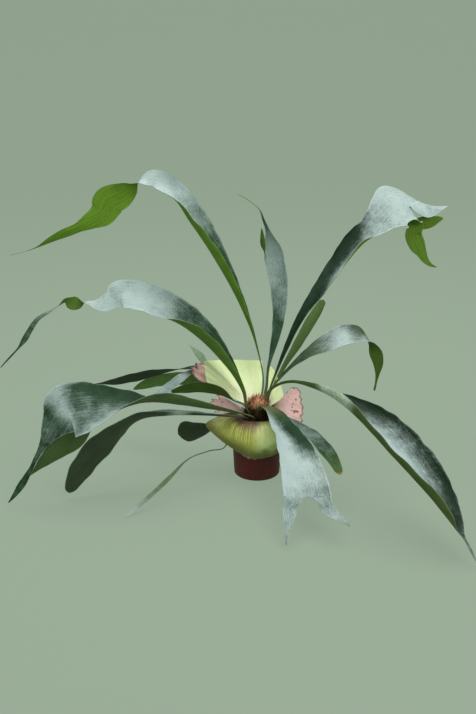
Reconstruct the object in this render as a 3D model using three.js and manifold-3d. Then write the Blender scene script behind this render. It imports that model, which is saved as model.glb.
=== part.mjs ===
// A potted staghorn fern: a small plastic pot, its potting mix, the scaly crown that grows on it,
// the shield fronds that clasp pot and crown, and the long forked fronds that stand in the crown.
// Millimetres, +Z up. The origin is the middle of the pot's flat foot, and the viewer stands at -Y.
import * as THREE from "three";
import { mergeVertices } from "three/addons/utils/BufferGeometryUtils.js";
import Module from "manifold-3d";

const wasm = await Module();
wasm.setup();

// ---------------------------------------------------------------- driving dimensions
const FIT = 0.35; // running gap between a piece and the hole or wall that holds it

const POT = {
  height: 96,
  foot: 41, // radius of the flat foot
  heel: 46, // radius just above the rounded heel
  neck: 50.6, // radius under the rim
  rim: 54.6, // radius of the rolled rim
  rimDepth: 9,
  wall: 1.8,
  floor: 2.4,
  holes: 5,
  holeRadius: 4,
  holeCircle: 28,
  sides: 40,
};

const MIX = { edge: 88, dome: 15, lump: 1.4, sides: 36 };

const CROWN = {
  middle: [2, -4, 128],
  reach: [28, 27, 36], // half axes along X, Y and Z
  lump: 1.6,
  sides: 20,
  bands: 10,
  scales: 40,
  scaleLength: 13,
  scaleWidth: 3,
};

const BLADE = {
  half: 0.6, // half thickness along the middle of a blade
  margin: 0.62, // share of it that is left at the margins
  stalkHalf: 2.1, // half thickness where a stalk leaves the crown
  stalkLength: 90, // the stalk has thinned to a blade after this
  tip: 0.7, // least half width
  step: 23, // longest stretch between two cross-sections
  columns: 4, // facets across a whole blade; a lobe has half as many
  socketLength: 30,
};

const SHIELD = { half: 0.6, margin: 0.6, across: 3, along: 2 };

// ---------------------------------------------------------------- meshes and solids

/** A closed solid from flat lists of coordinates and of vertex numbers. */
function solidFrom(positions, triangles) {
  const geometry = new THREE.BufferGeometry();
  geometry.setAttribute("position", new THREE.Float32BufferAttribute(positions, 3));
  geometry.setIndex(triangles);
  return solidOf(geometry);
}

/** A closed three.js geometry as a manifold-3d solid. */
function solidOf(geometry) {
  const bare = geometry.clone();
  bare.deleteAttribute("normal");
  bare.deleteAttribute("uv");
  const merged = mergeVertices(bare, 1e-4);
  const index = merged.index.array;
  const kept = [];
  for (let i = 0; i < index.length; i += 3) {
    const [a, b, c] = [index[i], index[i + 1], index[i + 2]];
    if (a !== b && b !== c && c !== a) kept.push(a, b, c);
  }
  return new wasm.Manifold(
    new wasm.Mesh({
      numProp: 3,
      vertProperties: merged.attributes.position.array,
      triVerts: new Uint32Array(kept),
    }),
  );
}

/** The largest body of a solid, without the crumbs that a cut can leave. */
function largestBody(solid) {
  const bodies = solid.decompose();
  return bodies.reduce((best, body) => (body.volume() > best.volume() ? body : best));
}

/** A named three.js mesh of a solid, in its own colour. */
function meshOf(name, solid, color, roughness) {
  const { vertProperties, triVerts } = solid.getMesh();
  const geometry = new THREE.BufferGeometry();
  geometry.setAttribute("position", new THREE.BufferAttribute(new Float32Array(vertProperties), 3));
  geometry.setIndex(new THREE.BufferAttribute(new Uint32Array(triVerts), 1));
  geometry.computeVertexNormals();
  const mesh = new THREE.Mesh(
    geometry,
    new THREE.MeshStandardMaterial({ color, roughness, metalness: 0, side: THREE.DoubleSide }),
  );
  mesh.name = name;
  return mesh;
}

/** A profile of [radius, height] points turned about +Z; it starts and ends on the axis. */
function turned(profile, sides) {
  const points = profile.map(([r, z]) => new THREE.Vector2(r, z));
  return new THREE.LatheGeometry(points, sides).rotateX(Math.PI / 2);
}

// ---------------------------------------------------------------- pot and potting mix

/** Radius of the pot's inner wall at a height. */
function innerRadius(z) {
  const outer = THREE.MathUtils.mapLinear(z, 0, POT.height - POT.rimDepth, POT.heel, POT.neck);
  return outer - POT.wall;
}

function makePot() {
  const { height, foot, heel, neck, rim, rimDepth, wall, floor } = POT;
  const shoulder = height - rimDepth;
  const profile = [
    [0, 0],
    [foot, 0],
    [foot + 3.2, 1],
    [heel, 4],
    [neck, shoulder],
    [rim, shoulder + 1],
    [rim + 0.4, height - 2],
    [rim - 0.3, height],
    [rim - wall, height - 0.5],
    [rim - wall - 0.4, shoulder + 2.5],
    [innerRadius(shoulder), shoulder - 1],
    [innerRadius(floor + 3), floor + 3],
    [foot - 1, floor],
    [0, floor],
  ];
  let pot = solidOf(turned(profile, POT.sides));
  for (let i = 0; i < POT.holes; i++) {
    const angle = (2 * Math.PI * (i + 0.5)) / POT.holes;
    const drill = new THREE.CylinderGeometry(POT.holeRadius, POT.holeRadius, 4 * floor, 12);
    drill.rotateX(Math.PI / 2);
    drill.translate(POT.holeCircle * Math.cos(angle), POT.holeCircle * Math.sin(angle), 0);
    pot = pot.subtract(solidOf(drill));
  }
  return pot;
}

/** Bark and moss that fill the pot and rise in a lumpy dome under the crown. */
function makeMix() {
  const { edge, dome, lump, sides } = MIX;
  const base = POT.floor + FIT;
  const profile = [
    [0, base],
    [POT.foot - 2, base],
    [innerRadius(base + 4) - FIT, base + 4],
    [innerRadius(edge - 3) - FIT, edge - 3],
    [innerRadius(edge) - 2.5, edge],
    [38, edge + 0.45 * dome],
    [30, edge + 0.8 * dome],
    [16, edge + dome],
    [0, edge + dome],
  ];
  const geometry = turned(profile, sides);
  const position = geometry.attributes.position;
  for (let i = 0; i < position.count; i++) {
    const [x, y, z] = [position.getX(i), position.getY(i), position.getZ(i)];
    if (z < edge + 1) continue;
    const wave = Math.sin(0.31 * x + 1.3) * Math.sin(0.27 * y + 0.4) + 0.5 * Math.sin(0.6 * x + 0.5 * y);
    position.setZ(i, z + lump * wave);
  }
  return solidOf(geometry);
}

// ---------------------------------------------------------------- crown

/** A point on the crown: a tall egg with shallow lumps. Azimuth and elevation are in radians. */
function crownPoint(azimuth, elevation, outset) {
  const [a, b, c] = CROWN.reach;
  const broad = Math.sin(5 * azimuth + 1) * Math.cos(3 * elevation);
  const fine = 0.6 * Math.sin(8 * azimuth + 4 * elevation);
  const swell = outset + CROWN.lump * (broad + fine) * Math.cos(elevation);
  const flat = Math.cos(elevation);
  return new THREE.Vector3(
    CROWN.middle[0] + (a + swell) * flat * Math.cos(azimuth),
    CROWN.middle[1] + (b + swell) * flat * Math.sin(azimuth),
    CROWN.middle[2] + (c + swell) * Math.sin(elevation),
  );
}

function crownBody(outset) {
  const { sides, bands } = CROWN;
  const geometry = new THREE.SphereGeometry(1, sides, bands).rotateX(Math.PI / 2);
  const position = geometry.attributes.position;
  for (let i = 0; i < position.count; i++) {
    const [x, y, z] = [position.getX(i), position.getY(i), position.getZ(i)];
    const elevation = Math.asin(THREE.MathUtils.clamp(z, -1, 1));
    const atPole = Math.hypot(x, y) < 1e-6;
    const p = crownPoint(atPole ? 0 : Math.atan2(y, x), elevation, outset);
    position.setXYZ(i, p.x, p.y, p.z);
  }
  return solidOf(geometry);
}

/** Papery scales in a golden-angle spiral over the crown's upper half, each a flat curved cone. */
function crownScales() {
  const { scales, scaleLength, scaleWidth } = CROWN;
  const golden = Math.PI * (3 - Math.sqrt(5));
  const made = [];
  for (let i = 0; i < scales; i++) {
    const azimuth = i * golden;
    const elevation = Math.asin(THREE.MathUtils.lerp(0.97, 0.02, i / scales));
    const root = crownPoint(azimuth, elevation, -2.5);
    const outward = crownPoint(azimuth, elevation, 6).sub(root).normalize();
    const upward = new THREE.Vector3(0, 0, 1).addScaledVector(outward, -outward.z);
    if (upward.lengthSq() < 1e-3) upward.set(0, 1, 0);
    upward.normalize();
    const lean = outward.clone().multiplyScalar(0.55 + 0.25 * Math.sin(3 * i));
    const along = lean.add(upward).normalize();
    const side = new THREE.Vector3().crossVectors(along, outward).normalize();
    const flat = new THREE.Vector3().crossVectors(side, along).normalize();
    const length = scaleLength * (0.8 + 0.3 * Math.sin(7 * i));
    const cone = new THREE.ConeGeometry(scaleWidth, length, 4).translate(0, length / 2, 0);
    cone.scale(1, 1, 0.42);
    cone.applyMatrix4(new THREE.Matrix4().makeBasis(side, along, flat).setPosition(root));
    made.push(solidOf(cone));
  }
  return made;
}

// ---------------------------------------------------------------- ribbons

/** Slopes of a smooth curve through rows of numbers at the given knots. */
function slopesOf(rows, knots) {
  const last = rows.length - 1;
  const chord = (i, k) => (rows[i + 1][k] - rows[i][k]) / (knots[i + 1] - knots[i]);
  const slopes = rows.map((row, i) =>
    row.map((_, k) => {
      if (i === 0 || i === last) return 0;
      const before = knots[i] - knots[i - 1];
      const after = knots[i + 1] - knots[i];
      return (chord(i - 1, k) * after + chord(i, k) * before) / (before + after);
    }),
  );
  rows[0].forEach((_, k) => {
    const ends = last > 1 ? 1.5 : 1;
    slopes[0][k] = ends * chord(0, k) + (1 - ends) * slopes[1][k];
    slopes[last][k] = ends * chord(last - 1, k) + (1 - ends) * slopes[last - 1][k];
  });
  return slopes;
}

/** Cubic Hermite value and slope between two rows, at share x of a stretch of length h. */
function between(rows, slopes, i, x, h) {
  const value = [];
  const slope = [];
  for (let k = 0; k < rows[i].length; k++) {
    const [p, q, m, n] = [rows[i][k], rows[i + 1][k], slopes[i][k] * h, slopes[i + 1][k] * h];
    value.push(p + x * m + x * x * (3 * (q - p) - 2 * m - n) + x * x * x * (2 * (p - q) + m + n));
    slope.push((m + 2 * x * (3 * (q - p) - 2 * m - n) + 3 * x * x * (2 * (p - q) + m + n)) / h);
  }
  return { value, slope };
}

/**
 * Cross-sections along a ribbon. Each control row holds [x, y, z, half width, roll, cup] with the
 * angles in degrees. At roll 0 the blade lies level across its heading; a positive roll lifts its
 * left margin, and cup bends the section into a gutter of twice that angle.
 */
function sectionsOf(rows, heading, firstSlope) {
  const knots = [0];
  for (let i = 1; i < rows.length; i++) {
    const [a, b] = [rows[i - 1], rows[i]];
    knots.push(knots[i - 1] + Math.hypot(b[0] - a[0], b[1] - a[1], b[2] - a[2]));
  }
  const slopes = slopesOf(rows, knots);
  if (firstSlope) slopes[0].splice(0, 3, ...firstSlope);
  const turn = THREE.MathUtils.degToRad(heading);
  const level = new THREE.Vector3(-Math.sin(turn), Math.cos(turn), 0);
  const sectionAt = (i, x) => {
    const h = knots[i + 1] - knots[i];
    const { value, slope } = between(rows, slopes, i, x, h);
    const along = new THREE.Vector3(slope[0], slope[1], slope[2]).normalize();
    const flat = level.clone().addScaledVector(along, -level.dot(along)).normalize();
    const upper = new THREE.Vector3().crossVectors(along, flat);
    const roll = THREE.MathUtils.degToRad(value[4]);
    const across = flat.clone().multiplyScalar(Math.cos(roll)).addScaledVector(upper, Math.sin(roll));
    const normal = new THREE.Vector3().crossVectors(along, across);
    return {
      at: new THREE.Vector3(value[0], value[1], value[2]),
      along,
      across,
      normal,
      half: Math.max(value[3], BLADE.tip),
      roll: value[4],
      cup: THREE.MathUtils.degToRad(Math.abs(value[5]) < 0.1 ? 0.1 : value[5]),
      distance: knots[i] + x * h,
    };
  };
  const sections = [sectionAt(0, 0)];
  for (let i = 0; i < rows.length - 1; i++) {
    const count = Math.max(1, Math.round((knots[i + 1] - knots[i]) / BLADE.step));
    for (let j = 1; j <= count; j++) sections.push(sectionAt(i, j / count));
  }
  return sections;
}

/** Half thickness of a frond at a distance from its socket and at u across it. */
function bladeHalf(distance, u) {
  const thinned = THREE.MathUtils.smoothstep(distance, 0, BLADE.stalkLength);
  const middle = THREE.MathUtils.lerp(BLADE.stalkHalf, BLADE.half, Math.sqrt(thinned));
  return middle * (1 - (1 - BLADE.margin) * u * u);
}

/** The upper and lower point of a section at u across it, from -1 to 1. */
function pairAt(section, u, distance, grow) {
  const half = section.half + grow;
  const angle = section.cup * u;
  const middle = section.at
    .clone()
    .addScaledVector(section.across, (half * Math.sin(angle)) / section.cup)
    .addScaledVector(section.normal, (half * (1 - Math.cos(angle))) / section.cup);
  const face = section.normal
    .clone()
    .multiplyScalar(Math.cos(angle))
    .addScaledVector(section.across, -Math.sin(angle));
  const thick = bladeHalf(distance, u) + grow;
  return [middle.clone().addScaledVector(face, thick), middle.addScaledVector(face, -thick)];
}

/** A list of point pairs and triangles that grows into one closed skin. */
class Skin {
  constructor() {
    this.positions = [];
    this.triangles = [];
  }

  /** Adds an upper and a lower point, and returns the number of the upper one. */
  pair([upper, lower]) {
    this.positions.push(upper.x, upper.y, upper.z, lower.x, lower.y, lower.z);
    return this.positions.length / 3 - 2;
  }

  quad(a, b, c, d) {
    this.triangles.push(a, b, c, a, c, d);
  }

  /** Both faces and both edges of a strip, split into triangles alike above and below. */
  strip(rows) {
    for (let i = 1; i < rows.length; i++) {
      const [before, after] = [rows[i - 1], rows[i]];
      for (let j = 1; j < before.length; j++) {
        const [a, b, c, d] = [before[j - 1], after[j - 1], after[j], before[j]];
        this.quad(a, b, c, d);
        this.triangles.push(a + 1, c + 1, b + 1, a + 1, d + 1, c + 1);
      }
      const last = before.length - 1;
      this.quad(before[last], after[last], after[last] + 1, before[last] + 1);
      this.quad(before[0], before[0] + 1, after[0] + 1, after[0]);
    }
  }

  startCap(row) {
    for (let j = 1; j < row.length; j++) this.quad(row[j - 1], row[j], row[j] + 1, row[j - 1] + 1);
  }

  endCap(row) {
    for (let j = 1; j < row.length; j++) this.quad(row[j - 1], row[j - 1] + 1, row[j] + 1, row[j]);
  }

  solid() {
    return solidFrom(this.positions, this.triangles);
  }
}

/** The control row that a lobe starts from: one half of the section where its parent forks. */
function halfRow(section, side) {
  const angle = (side * section.cup) / 2;
  const at = section.at
    .clone()
    .addScaledVector(section.across, (section.half * Math.sin(angle)) / section.cup)
    .addScaledVector(section.normal, (section.half * (1 - Math.cos(angle))) / section.cup);
  const degrees = THREE.MathUtils.radToDeg;
  return [at.x, at.y, at.z, section.half / 2, section.roll + degrees(angle), degrees(section.cup / 2)];
}

/** Turns rows of [reach, drift, rise, ...] along a heading into rows of [x, y, z, ...]. */
function placed(rows, heading, socket) {
  const turn = THREE.MathUtils.degToRad(heading);
  const [c, s] = [Math.cos(turn), Math.sin(turn)];
  return rows.map(([reach, drift, rise, ...rest]) => [
    socket[0] + reach * c - drift * s,
    socket[1] + reach * s + drift * c,
    socket[2] + rise,
    ...rest,
  ]);
}

/** One frond as a solid: a trunk that may fork into a left and a right lobe, and so on. */
function frondSolid({ heading, socket, rows, left, right }) {
  const skin = new Skin();
  const grow = (branch, columns, parent, side) => {
    const controls = placed(branch.rows, heading, socket);
    if (parent) controls.unshift(halfRow(parent.section, side));
    const sections = sectionsOf(controls, heading, parent && parent.section.along.toArray());
    const start = parent ? parent.distance : 0;
    const made = sections.map((section, i) => {
      if (parent && i === 0) return parent.row;
      const us = Array.from({ length: columns + 1 }, (_, j) => (2 * j) / columns - 1);
      return us.map((u) => skin.pair(pairAt(section, u, start + section.distance, 0)));
    });
    skin.strip(made);
    const section = sections.at(-1);
    const distance = start + section.distance;
    const row = made.at(-1);
    if (!parent) skin.startCap(made[0]);
    if (!branch.left) {
      skin.endCap(row);
      return;
    }
    const middle = columns / 2;
    grow(branch.left, middle, { section, distance, row: row.slice(middle) }, 1);
    grow(branch.right, middle, { section, distance, row: row.slice(0, middle + 1) }, -1);
  };
  grow({ rows, left, right }, BLADE.columns);
  return skin.solid();
}

/** The hole that a frond stands in: its first stretch, a little larger all round. */
function socketSolid({ heading, socket, rows }) {
  const skin = new Skin();
  const sections = sectionsOf(placed(rows, heading, socket), heading);
  const [first] = sections;
  const start = { ...first, at: first.at.clone().addScaledVector(first.along, -FIT), distance: -FIT };
  const end = sections.findIndex(({ distance }) => distance > BLADE.socketLength);
  const kept = [start, ...sections.slice(0, end + 1)];
  const us = Array.from({ length: BLADE.columns + 1 }, (_, j) => (2 * j) / BLADE.columns - 1);
  const made = kept.map((section) =>
    us.map((u) => skin.pair(pairAt(section, u, Math.max(section.distance, 0), FIT))),
  );
  skin.strip(made);
  skin.startCap(made[0]);
  skin.endCap(made.at(-1));
  return skin.solid();
}

// ---------------------------------------------------------------- fronds

// Each frond: its heading in degrees from +X seen from above, the point in the crown that it stands
// in, and control rows of [reach, drift to its left, rise, half width, roll, cup] from that point.
const FRONDS = [
  {
    name: "frond_top_left",
    heading: 186,
    socket: [5, 2, 152],
    rows: [
      [0, 0, 0, 3.2, 0, 10],
      [-5, 1, 23, 4, 0, 30],
      [10, 1, 120, 8, -8, 50],
      [39, 1, 197, 19, -14, 60],
      [92, 1, 297, 35, -18, 62],
      [133, 1, 365, 35, -24, 56],
      [170, 1, 421, 24, -32, 38],
      [201, 1, 447, 17, -62, 10],
      [225, 1, 435, 13, -10, 0],
      [240, 1, 424, 17, 60, -10],
      [263, 1, 406, 31, 85, -10],
      [292, 1, 395, 36, 95, 0],
      [321, 1, 375, 20, 92, 10],
      [381, 1, 343, 9, 70, 10],
      [424, 1, 323, 3.5, 40, 5],
      [469, 1, 309, 1, 20, 0],
    ],
  },
  {
    name: "frond_left_arch",
    heading: 197,
    socket: [-9, -14, 131],
    rows: [
      [0, 0, 0, 3.2, 0, 10],
      [12, 5, 11, 4, 0, 30],
      [21, 5, 64, 9, 0, 45],
      [40, 5, 102, 14, 0, 58],
      [79, 5, 147, 22, 2, 60],
      [123, 5, 196, 27, -6, 56],
      [169, 5, 238, 30, -28, 40],
      [210, 5, 260, 29, -45, 25],
      [255, 5, 262, 26, -50, 10],
      [288, 5, 253, 17, -55, 0],
      [317, 5, 257, 8, -12, 0],
      [339, 5, 257, 13, 85, -5],
      [358, 5, 260, 5, 30, 0],
      [388, 5, 246, 4, -40, 10],
      [417, 5, 228, 5, -60, 20],
      [437, 5, 194, 8, -80, 20],
      [462, 5, 164, 3, -70, 10],
      [481, 5, 147, 1, -60, 0],
    ],
  },
  {
    name: "frond_upright",
    heading: 100,
    socket: [12, 8, 150],
    rows: [
      [0, 0, 0, 3.2, 0, 10],
      [5, -7, 27, 4, 0, 30],
      [21, -18, 76, 7, 0, 30],
      [37, -32, 129, 13, 10, 30],
      [48, -39, 182, 18, 15, 25],
      [54, -38, 234, 20, 10, 15],
      [55, -31, 272, 19, 0, 10],
    ],
    right: {
      rows: [
        [53, -22, 311, 17, -32, 10],
        [45, -10, 347, 10, -50, 0],
        [35, 4, 382, 5, -80, 10],
        [29, 27, 403, 3, -80, 10],
        [25, 47, 414, 1, -80, 0],
      ],
    },
    left: {
      rows: [
        [51, -8, 294, 8, -70, 20],
        [48, -3, 321, 4.5, -80, 10],
        [44, -2, 341, 1, -90, 0],
      ],
    },
  },
  {
    name: "frond_top_right",
    heading: 22,
    socket: [17, 3, 151],
    rows: [
      [0, 0, 0, 3.2, 10, 10],
      [11, 4, 25, 4, 10, 30],
      [24, 4, 59, 7, 5, 45],
      [46, 4, 107, 13, 5, 55],
      [74, 4, 162, 18, 8, 55],
      [117, 4, 214, 21, 15, 50],
      [166, 4, 270, 23.5, 25, 45],
      [207, 4, 312, 27, 32, 25],
      [248, 4, 347, 34, 38, 5],
      [274, 4, 370, 41, 41, 0],
      [297, 4, 386, 43, 42, 0],
    ],
    left: {
      rows: [
        [324, 4, 375, 21, 40, 5],
        [353, 4, 367, 12, 38, 5],
        [379, 4, 366, 6, 33, 0],
        [400, 4, 368, 1, 30, 0],
      ],
    },
    right: {
      rows: [
        [324, 4, 340, 19, -45, 0],
      ],
      left: {
        rows: [
          [352, 4, 337, 9, -80, 0],
          [371, 4, 342, 5, -80, 0],
          [388, 4, 340, 1, -80, 0],
        ],
      },
      right: {
        rows: [
          [326, 4, 307, 15, -80, 0],
          [342, 4, 281, 11, -85, 0],
          [365, 4, 257, 5, -85, 0],
          [385, 4, 243, 1, -85, 0],
        ],
      },
    },
  },
  {
    name: "frond_right_short",
    heading: 50,
    socket: [20, 11, 144],
    rows: [
      [0, 0, 0, 3.2, -150, 10],
      [11, -6, 32, 4, -150, 20],
      [47, -6, 66, 7, -150, 10],
      [89, -6, 102, 9.5, -150, 10],
      [129, -6, 140, 11, -150, 10],
      [160, -6, 167, 10, -150, 10],
      [184, -6, 184, 3, -150, 0],
    ],
  },
  {
    name: "frond_right_mid",
    heading: -8,
    socket: [21, -7, 145],
    rows: [
      [0, 0, 0, 3.2, 20, 10],
      [4, 0, 30, 4, 20, 30],
      [21, 0, 62, 7, 30, 30],
      [47, 0, 94, 11, 35, 30],
      [79, 0, 121, 16, 40, 20],
      [116, 0, 142, 20, 42, 10],
      [148, 0, 156, 21, 40, 0],
      [172, 0, 159, 19, 30, -10],
      [190, 0, 151, 14, 5, -20],
      [200, 0, 140, 11, -40, -10],
      [207, 0, 124, 13, -75, 0],
      [213, 0, 102, 10.5, -80, 0],
      [214, 0, 79, 5, -85, 0],
      [211, 0, 63, 3, -85, 0],
      [208, 0, 44, 2.5, -85, 0],
    ],
  },
  {
    name: "frond_right_long",
    heading: -48,
    socket: [13, -9, 147],
    rows: [
      [0, 0, 0, 3.2, 0, 10],
      [3, 2, 20, 4, 0, 40],
      [34, 2, 51, 6, -20, 50],
      [75, 2, 70, 8, -30, 60],
      [125, 2, 75, 13, -30, 70],
      [179, 2, 73, 20, -30, 75],
      [238, 2, 67, 28, -25, 72],
      [295, 2, 49, 37, -15, 66],
      [350, 2, 20, 43, -10, 64],
      [401, 2, -15, 44, -8, 64],
      [444, 2, -54, 33, -8, 62],
      [471, 2, -80, 17, -10, 50],
      [484, 2, -98, 5, -10, 40],
      [500, 2, -116, 5, -10, 20],
      [517, 2, -137, 1, 0, 0],
    ],
  },
  {
    name: "frond_front",
    heading: -78,
    socket: [4, -21, 140],
    rows: [
      [0, 0, 0, 3.2, -10, 10],
      [7, 0, 10, 5, -10, 30],
      [35, 15, 14, 13, -14, 35],
      [81, 23, 1, 21, -12, 30],
      [138, 31, -14, 30, -6, 22],
      [195, 33, -34, 39, 0, 12],
      [245, 27, -58, 43, 0, 5],
    ],
    right: {
      rows: [
        [262, -5, -82, 15, 0, 0],
        [287, -17, -103, 9, 0, 0],
        [306, -24, -129, 1, 0, 0],
      ],
    },
    left: {
      rows: [
        [272, 55, -71, 19, 0, 0],
        [292, 71, -86, 11, 0, 0],
        [309, 90, -103, 1, 0, 0],
      ],
    },
  },
  {
    name: "frond_front_right",
    heading: -35,
    socket: [18, -15, 134],
    rows: [
      [0, 0, 0, 3.2, 0, 10],
      [4, -8, 12, 4, 0, 20],
      [41, -11, 5, 8, 0, 20],
      [89, -22, -7, 14, 0, 10],
      [134, -34, -15, 18, 0, 10],
      [170, -45, -35, 18, 0, 10],
      [199, -56, -56, 8, 0, 10],
    ],
  },
  {
    name: "frond_left_broad",
    heading: 203,
    socket: [-4, -22, 126],
    rows: [
      [0, 0, 0, 3.2, 0, 10],
      [13, 5, 11, 4, 0, 30],
      [40, 5, 24, 8, 20, 30],
      [88, 6, 41, 11, 40, 40],
      [141, 9, 59, 17, 45, 45],
      [191, 9, 72, 26, 35, 50],
      [239, 7, 76, 37, 10, 50],
      [285, 1, 73, 43, -15, 40],
      [323, -8, 70, 46, -38, 20],
      [353, -16, 64, 47, -46, 8],
      [373, -19, 34, 46, -57, 0],
    ],
    left: {
      rows: [
        [374, -24, 2, 33, 48, 10],
        [389, -37, -26, 21, 62, 10],
        [412, -53, -52, 10, 60, 10],
        [438, -71, -76, 1, 60, 0],
      ],
    },
    right: {
      rows: [
        [402, -29, 16, 17, -62, -10],
        [413, -35, -4, 11, -75, -10],
        [424, -41, -27, 8, -90, 0],
        [441, -46, -54, 9, -85, 0],
        [456, -49, -82, 9, -80, 0],
        [473, -53, -104, 5, -80, 0],
        [484, -56, -117, 1, -80, 0],
      ],
    },
  },
  {
    name: "frond_left_low",
    heading: 195,
    socket: [-14, -18, 121],
    rows: [
      [0, 0, 0, 3.2, 0, 10],
      [10, 4, 9, 4, 0, 30],
      [53, 2, 18, 9, 20, 40],
      [112, -2, 28, 13, 20, 50],
      [171, -2, 31, 19, 20, 55],
      [219, 0, 29, 26, 30, 45],
      [259, 5, 8, 30, 50, 20],
      [302, 6, -22, 32, 65, 5],
      [337, 7, -59, 27, 70, 0],
      [354, 11, -93, 19, 70, 0],
      [365, 10, -112, 9, 70, 0],
    ],
  },
  {
    name: "frond_left_back_forked",
    heading: 156,
    socket: [-1, 19, 135],
    rows: [
      [0, 0, 0, 3.2, 0, 10],
      [12, -13, 17, 4, 0, 30],
      [47, -13, 40, 7, -10, 20],
      [83, -13, 54, 9, -20, 20],
      [119, -13, 58, 11, -25, 10],
      [149, -13, 54, 14, -25, 5],
    ],
    right: {
      rows: [
        [189, -13, 51, 8, 0, 0],
        [239, -13, 38, 10, 32, 0],
        [300, -13, 16, 11, 36, 0],
        [351, -13, 0, 8, 34, 0],
        [392, -13, -12, 1, 30, 0],
      ],
    },
    left: {
      rows: [
        [163, 15, 45, 10, -50, 0],
        [180, 31, 29, 11, -55, 0],
        [199, 48, 12, 10, -55, 0],
        [219, 64, -1, 3, -55, 0],
      ],
    },
  },
  {
    name: "frond_left_back_green",
    heading: 145,
    socket: [-11, 16, 129],
    rows: [
      [0, 0, 0, 3.2, 0, 10],
      [13, -3, 14, 4, 0, 30],
      [51, -3, 27, 8, 40, 10],
      [96, -3, 40, 13, 70, 0],
      [143, -3, 39, 15, 75, 0],
      [196, -3, 28, 15, 75, 0],
      [255, -3, 10, 14, 75, 0],
      [298, -3, -10, 8, 75, 0],
      [315, -3, -21, 2, 75, 0],
    ],
  },
  {
    name: "frond_left_back_olive",
    heading: 178,
    socket: [-17, -3, 131],
    rows: [
      [0, 0, 0, 3.2, 0, 10],
      [9, 1, 17, 4, 0, 30],
      [29, 1, 27, 9, 20, 10],
      [59, 1, 48, 12, 60, 0],
      [91, 1, 52, 14, 70, 0],
      [125, 1, 47, 13, 70, 0],
      [157, 1, 38, 6, 60, 0],
    ],
  },
  {
    name: "frond_left_under_small",
    heading: 190,
    socket: [-14, -7, 110],
    rows: [
      [0, 0, 0, 3.2, 0, 10],
      [16, -4, 0, 4, 0, 30],
      [44, -10, 2, 7, 10, 20],
      [72, -20, -12, 17, 40, 20],
      [104, -27, -21, 28, 60, 20],
      [130, -34, -26, 30, 62, 10],
      [143, -38, -29, 17, 60, 0],
    ],
  },
  {
    name: "frond_left_thin",
    heading: 218,
    socket: [-13, -14, 109],
    rows: [
      [0, 0, 0, 3.2, 0, 10],
      [18, -6, 4, 3, 0, 30],
      [39, -11, -5, 3, -10, 20],
      [46, -12, -16, 3, -10, 20],
      [54, -13, -36, 3, -20, 20],
      [97, -10, -34, 3.5, -30, 20],
      [154, -3, -35, 3.5, -40, 20],
      [204, 1, -57, 4, -45, 20],
      [245, 4, -77, 4, -45, 10],
      [279, 5, -95, 3.5, -45, 10],
      [302, 5, -107, 1, -45, 0],
    ],
  },
  {
    name: "frond_young",
    heading: 150,
    socket: [-9, 18, 135],
    rows: [
      [0, 0, 0, 3.2, 0, 10],
      [12, -4, 18, 3, 0, 20],
      [27, -3, 38, 4, 0, 20],
      [56, 2, 64, 5, -20, 20],
      [84, 14, 85, 7, -40, 10],
      [107, 23, 103, 8, -50, 10],
      [127, 32, 119, 1, -50, 0],
    ],
  },
];

// ---------------------------------------------------------------- shields

/** Rib points from [azimuth in degrees, [radius, height], ...] about the pot's axis. */
function wrapped(azimuth, ...points) {
  const turn = THREE.MathUtils.degToRad(azimuth);
  return points.map(([r, z]) => [r * Math.cos(turn), r * Math.sin(turn), z]);
}

/** Rows of points made finer by a smooth curve through them, with so many steps to each stretch. */
function refined(rows, steps) {
  const flat = rows.map((row) => row.flat());
  const knots = flat.map((_, i) => i);
  const slopes = slopesOf(flat, knots);
  const fine = [flat[0]];
  for (let i = 0; i < flat.length - 1; i++) {
    for (let j = 1; j <= steps; j++) fine.push(between(flat, slopes, i, j / steps, 1).value);
  }
  return fine.map((row) => Array.from({ length: row.length / 3 }, (_, i) => row.slice(3 * i, 3 * i + 3)));
}

function transposed(grid) {
  return grid[0].map((_, j) => grid.map((row) => row[j]));
}

/**
 * A shield frond as a thin closed sheet lofted over its ribs, each a list of points from the crown
 * to the margin. grow makes it larger all round, for the slot that it stands in.
 */
function shieldSolid(ribs, grow) {
  const fineRibs = refined(ribs, SHIELD.across);
  const grid = transposed(refined(transposed(fineRibs), SHIELD.along)).map((row) =>
    row.map((p) => new THREE.Vector3(...p)),
  );
  const skin = new Skin();
  const rows = grid.map((row, i) =>
    row.map((point, j) => {
      const [west, east] = [grid[Math.max(i - 1, 0)][j], grid[Math.min(i + 1, grid.length - 1)][j]];
      const [inner, outer] = [row[Math.max(j - 1, 0)], row[Math.min(j + 1, row.length - 1)]];
      const sideways = east.clone().sub(west).normalize();
      const outward = outer.clone().sub(inner).normalize();
      const face = new THREE.Vector3().crossVectors(sideways, outward).normalize();
      const nearMargin = Math.max(Math.abs((2 * i) / (grid.length - 1) - 1), j / (row.length - 1));
      const half = SHIELD.half * (1 - (1 - SHIELD.margin) * nearMargin ** 4) + grow;
      const middle = point.clone();
      if (j === 0) middle.addScaledVector(outward, -grow);
      if (i === 0) middle.addScaledVector(sideways, -grow);
      if (i === grid.length - 1) middle.addScaledVector(sideways, grow);
      return skin.pair([
        middle.clone().addScaledVector(face, half),
        middle.addScaledVector(face, -half),
      ]);
    }),
  );
  skin.strip(rows);
  skin.startCap(rows[0]);
  skin.endCap(rows.at(-1));
  return skin.solid();
}

const FRESH = "#a9b35a";
const PALE = "#d2e6a6";
const DRY = "#c99f90";

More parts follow.
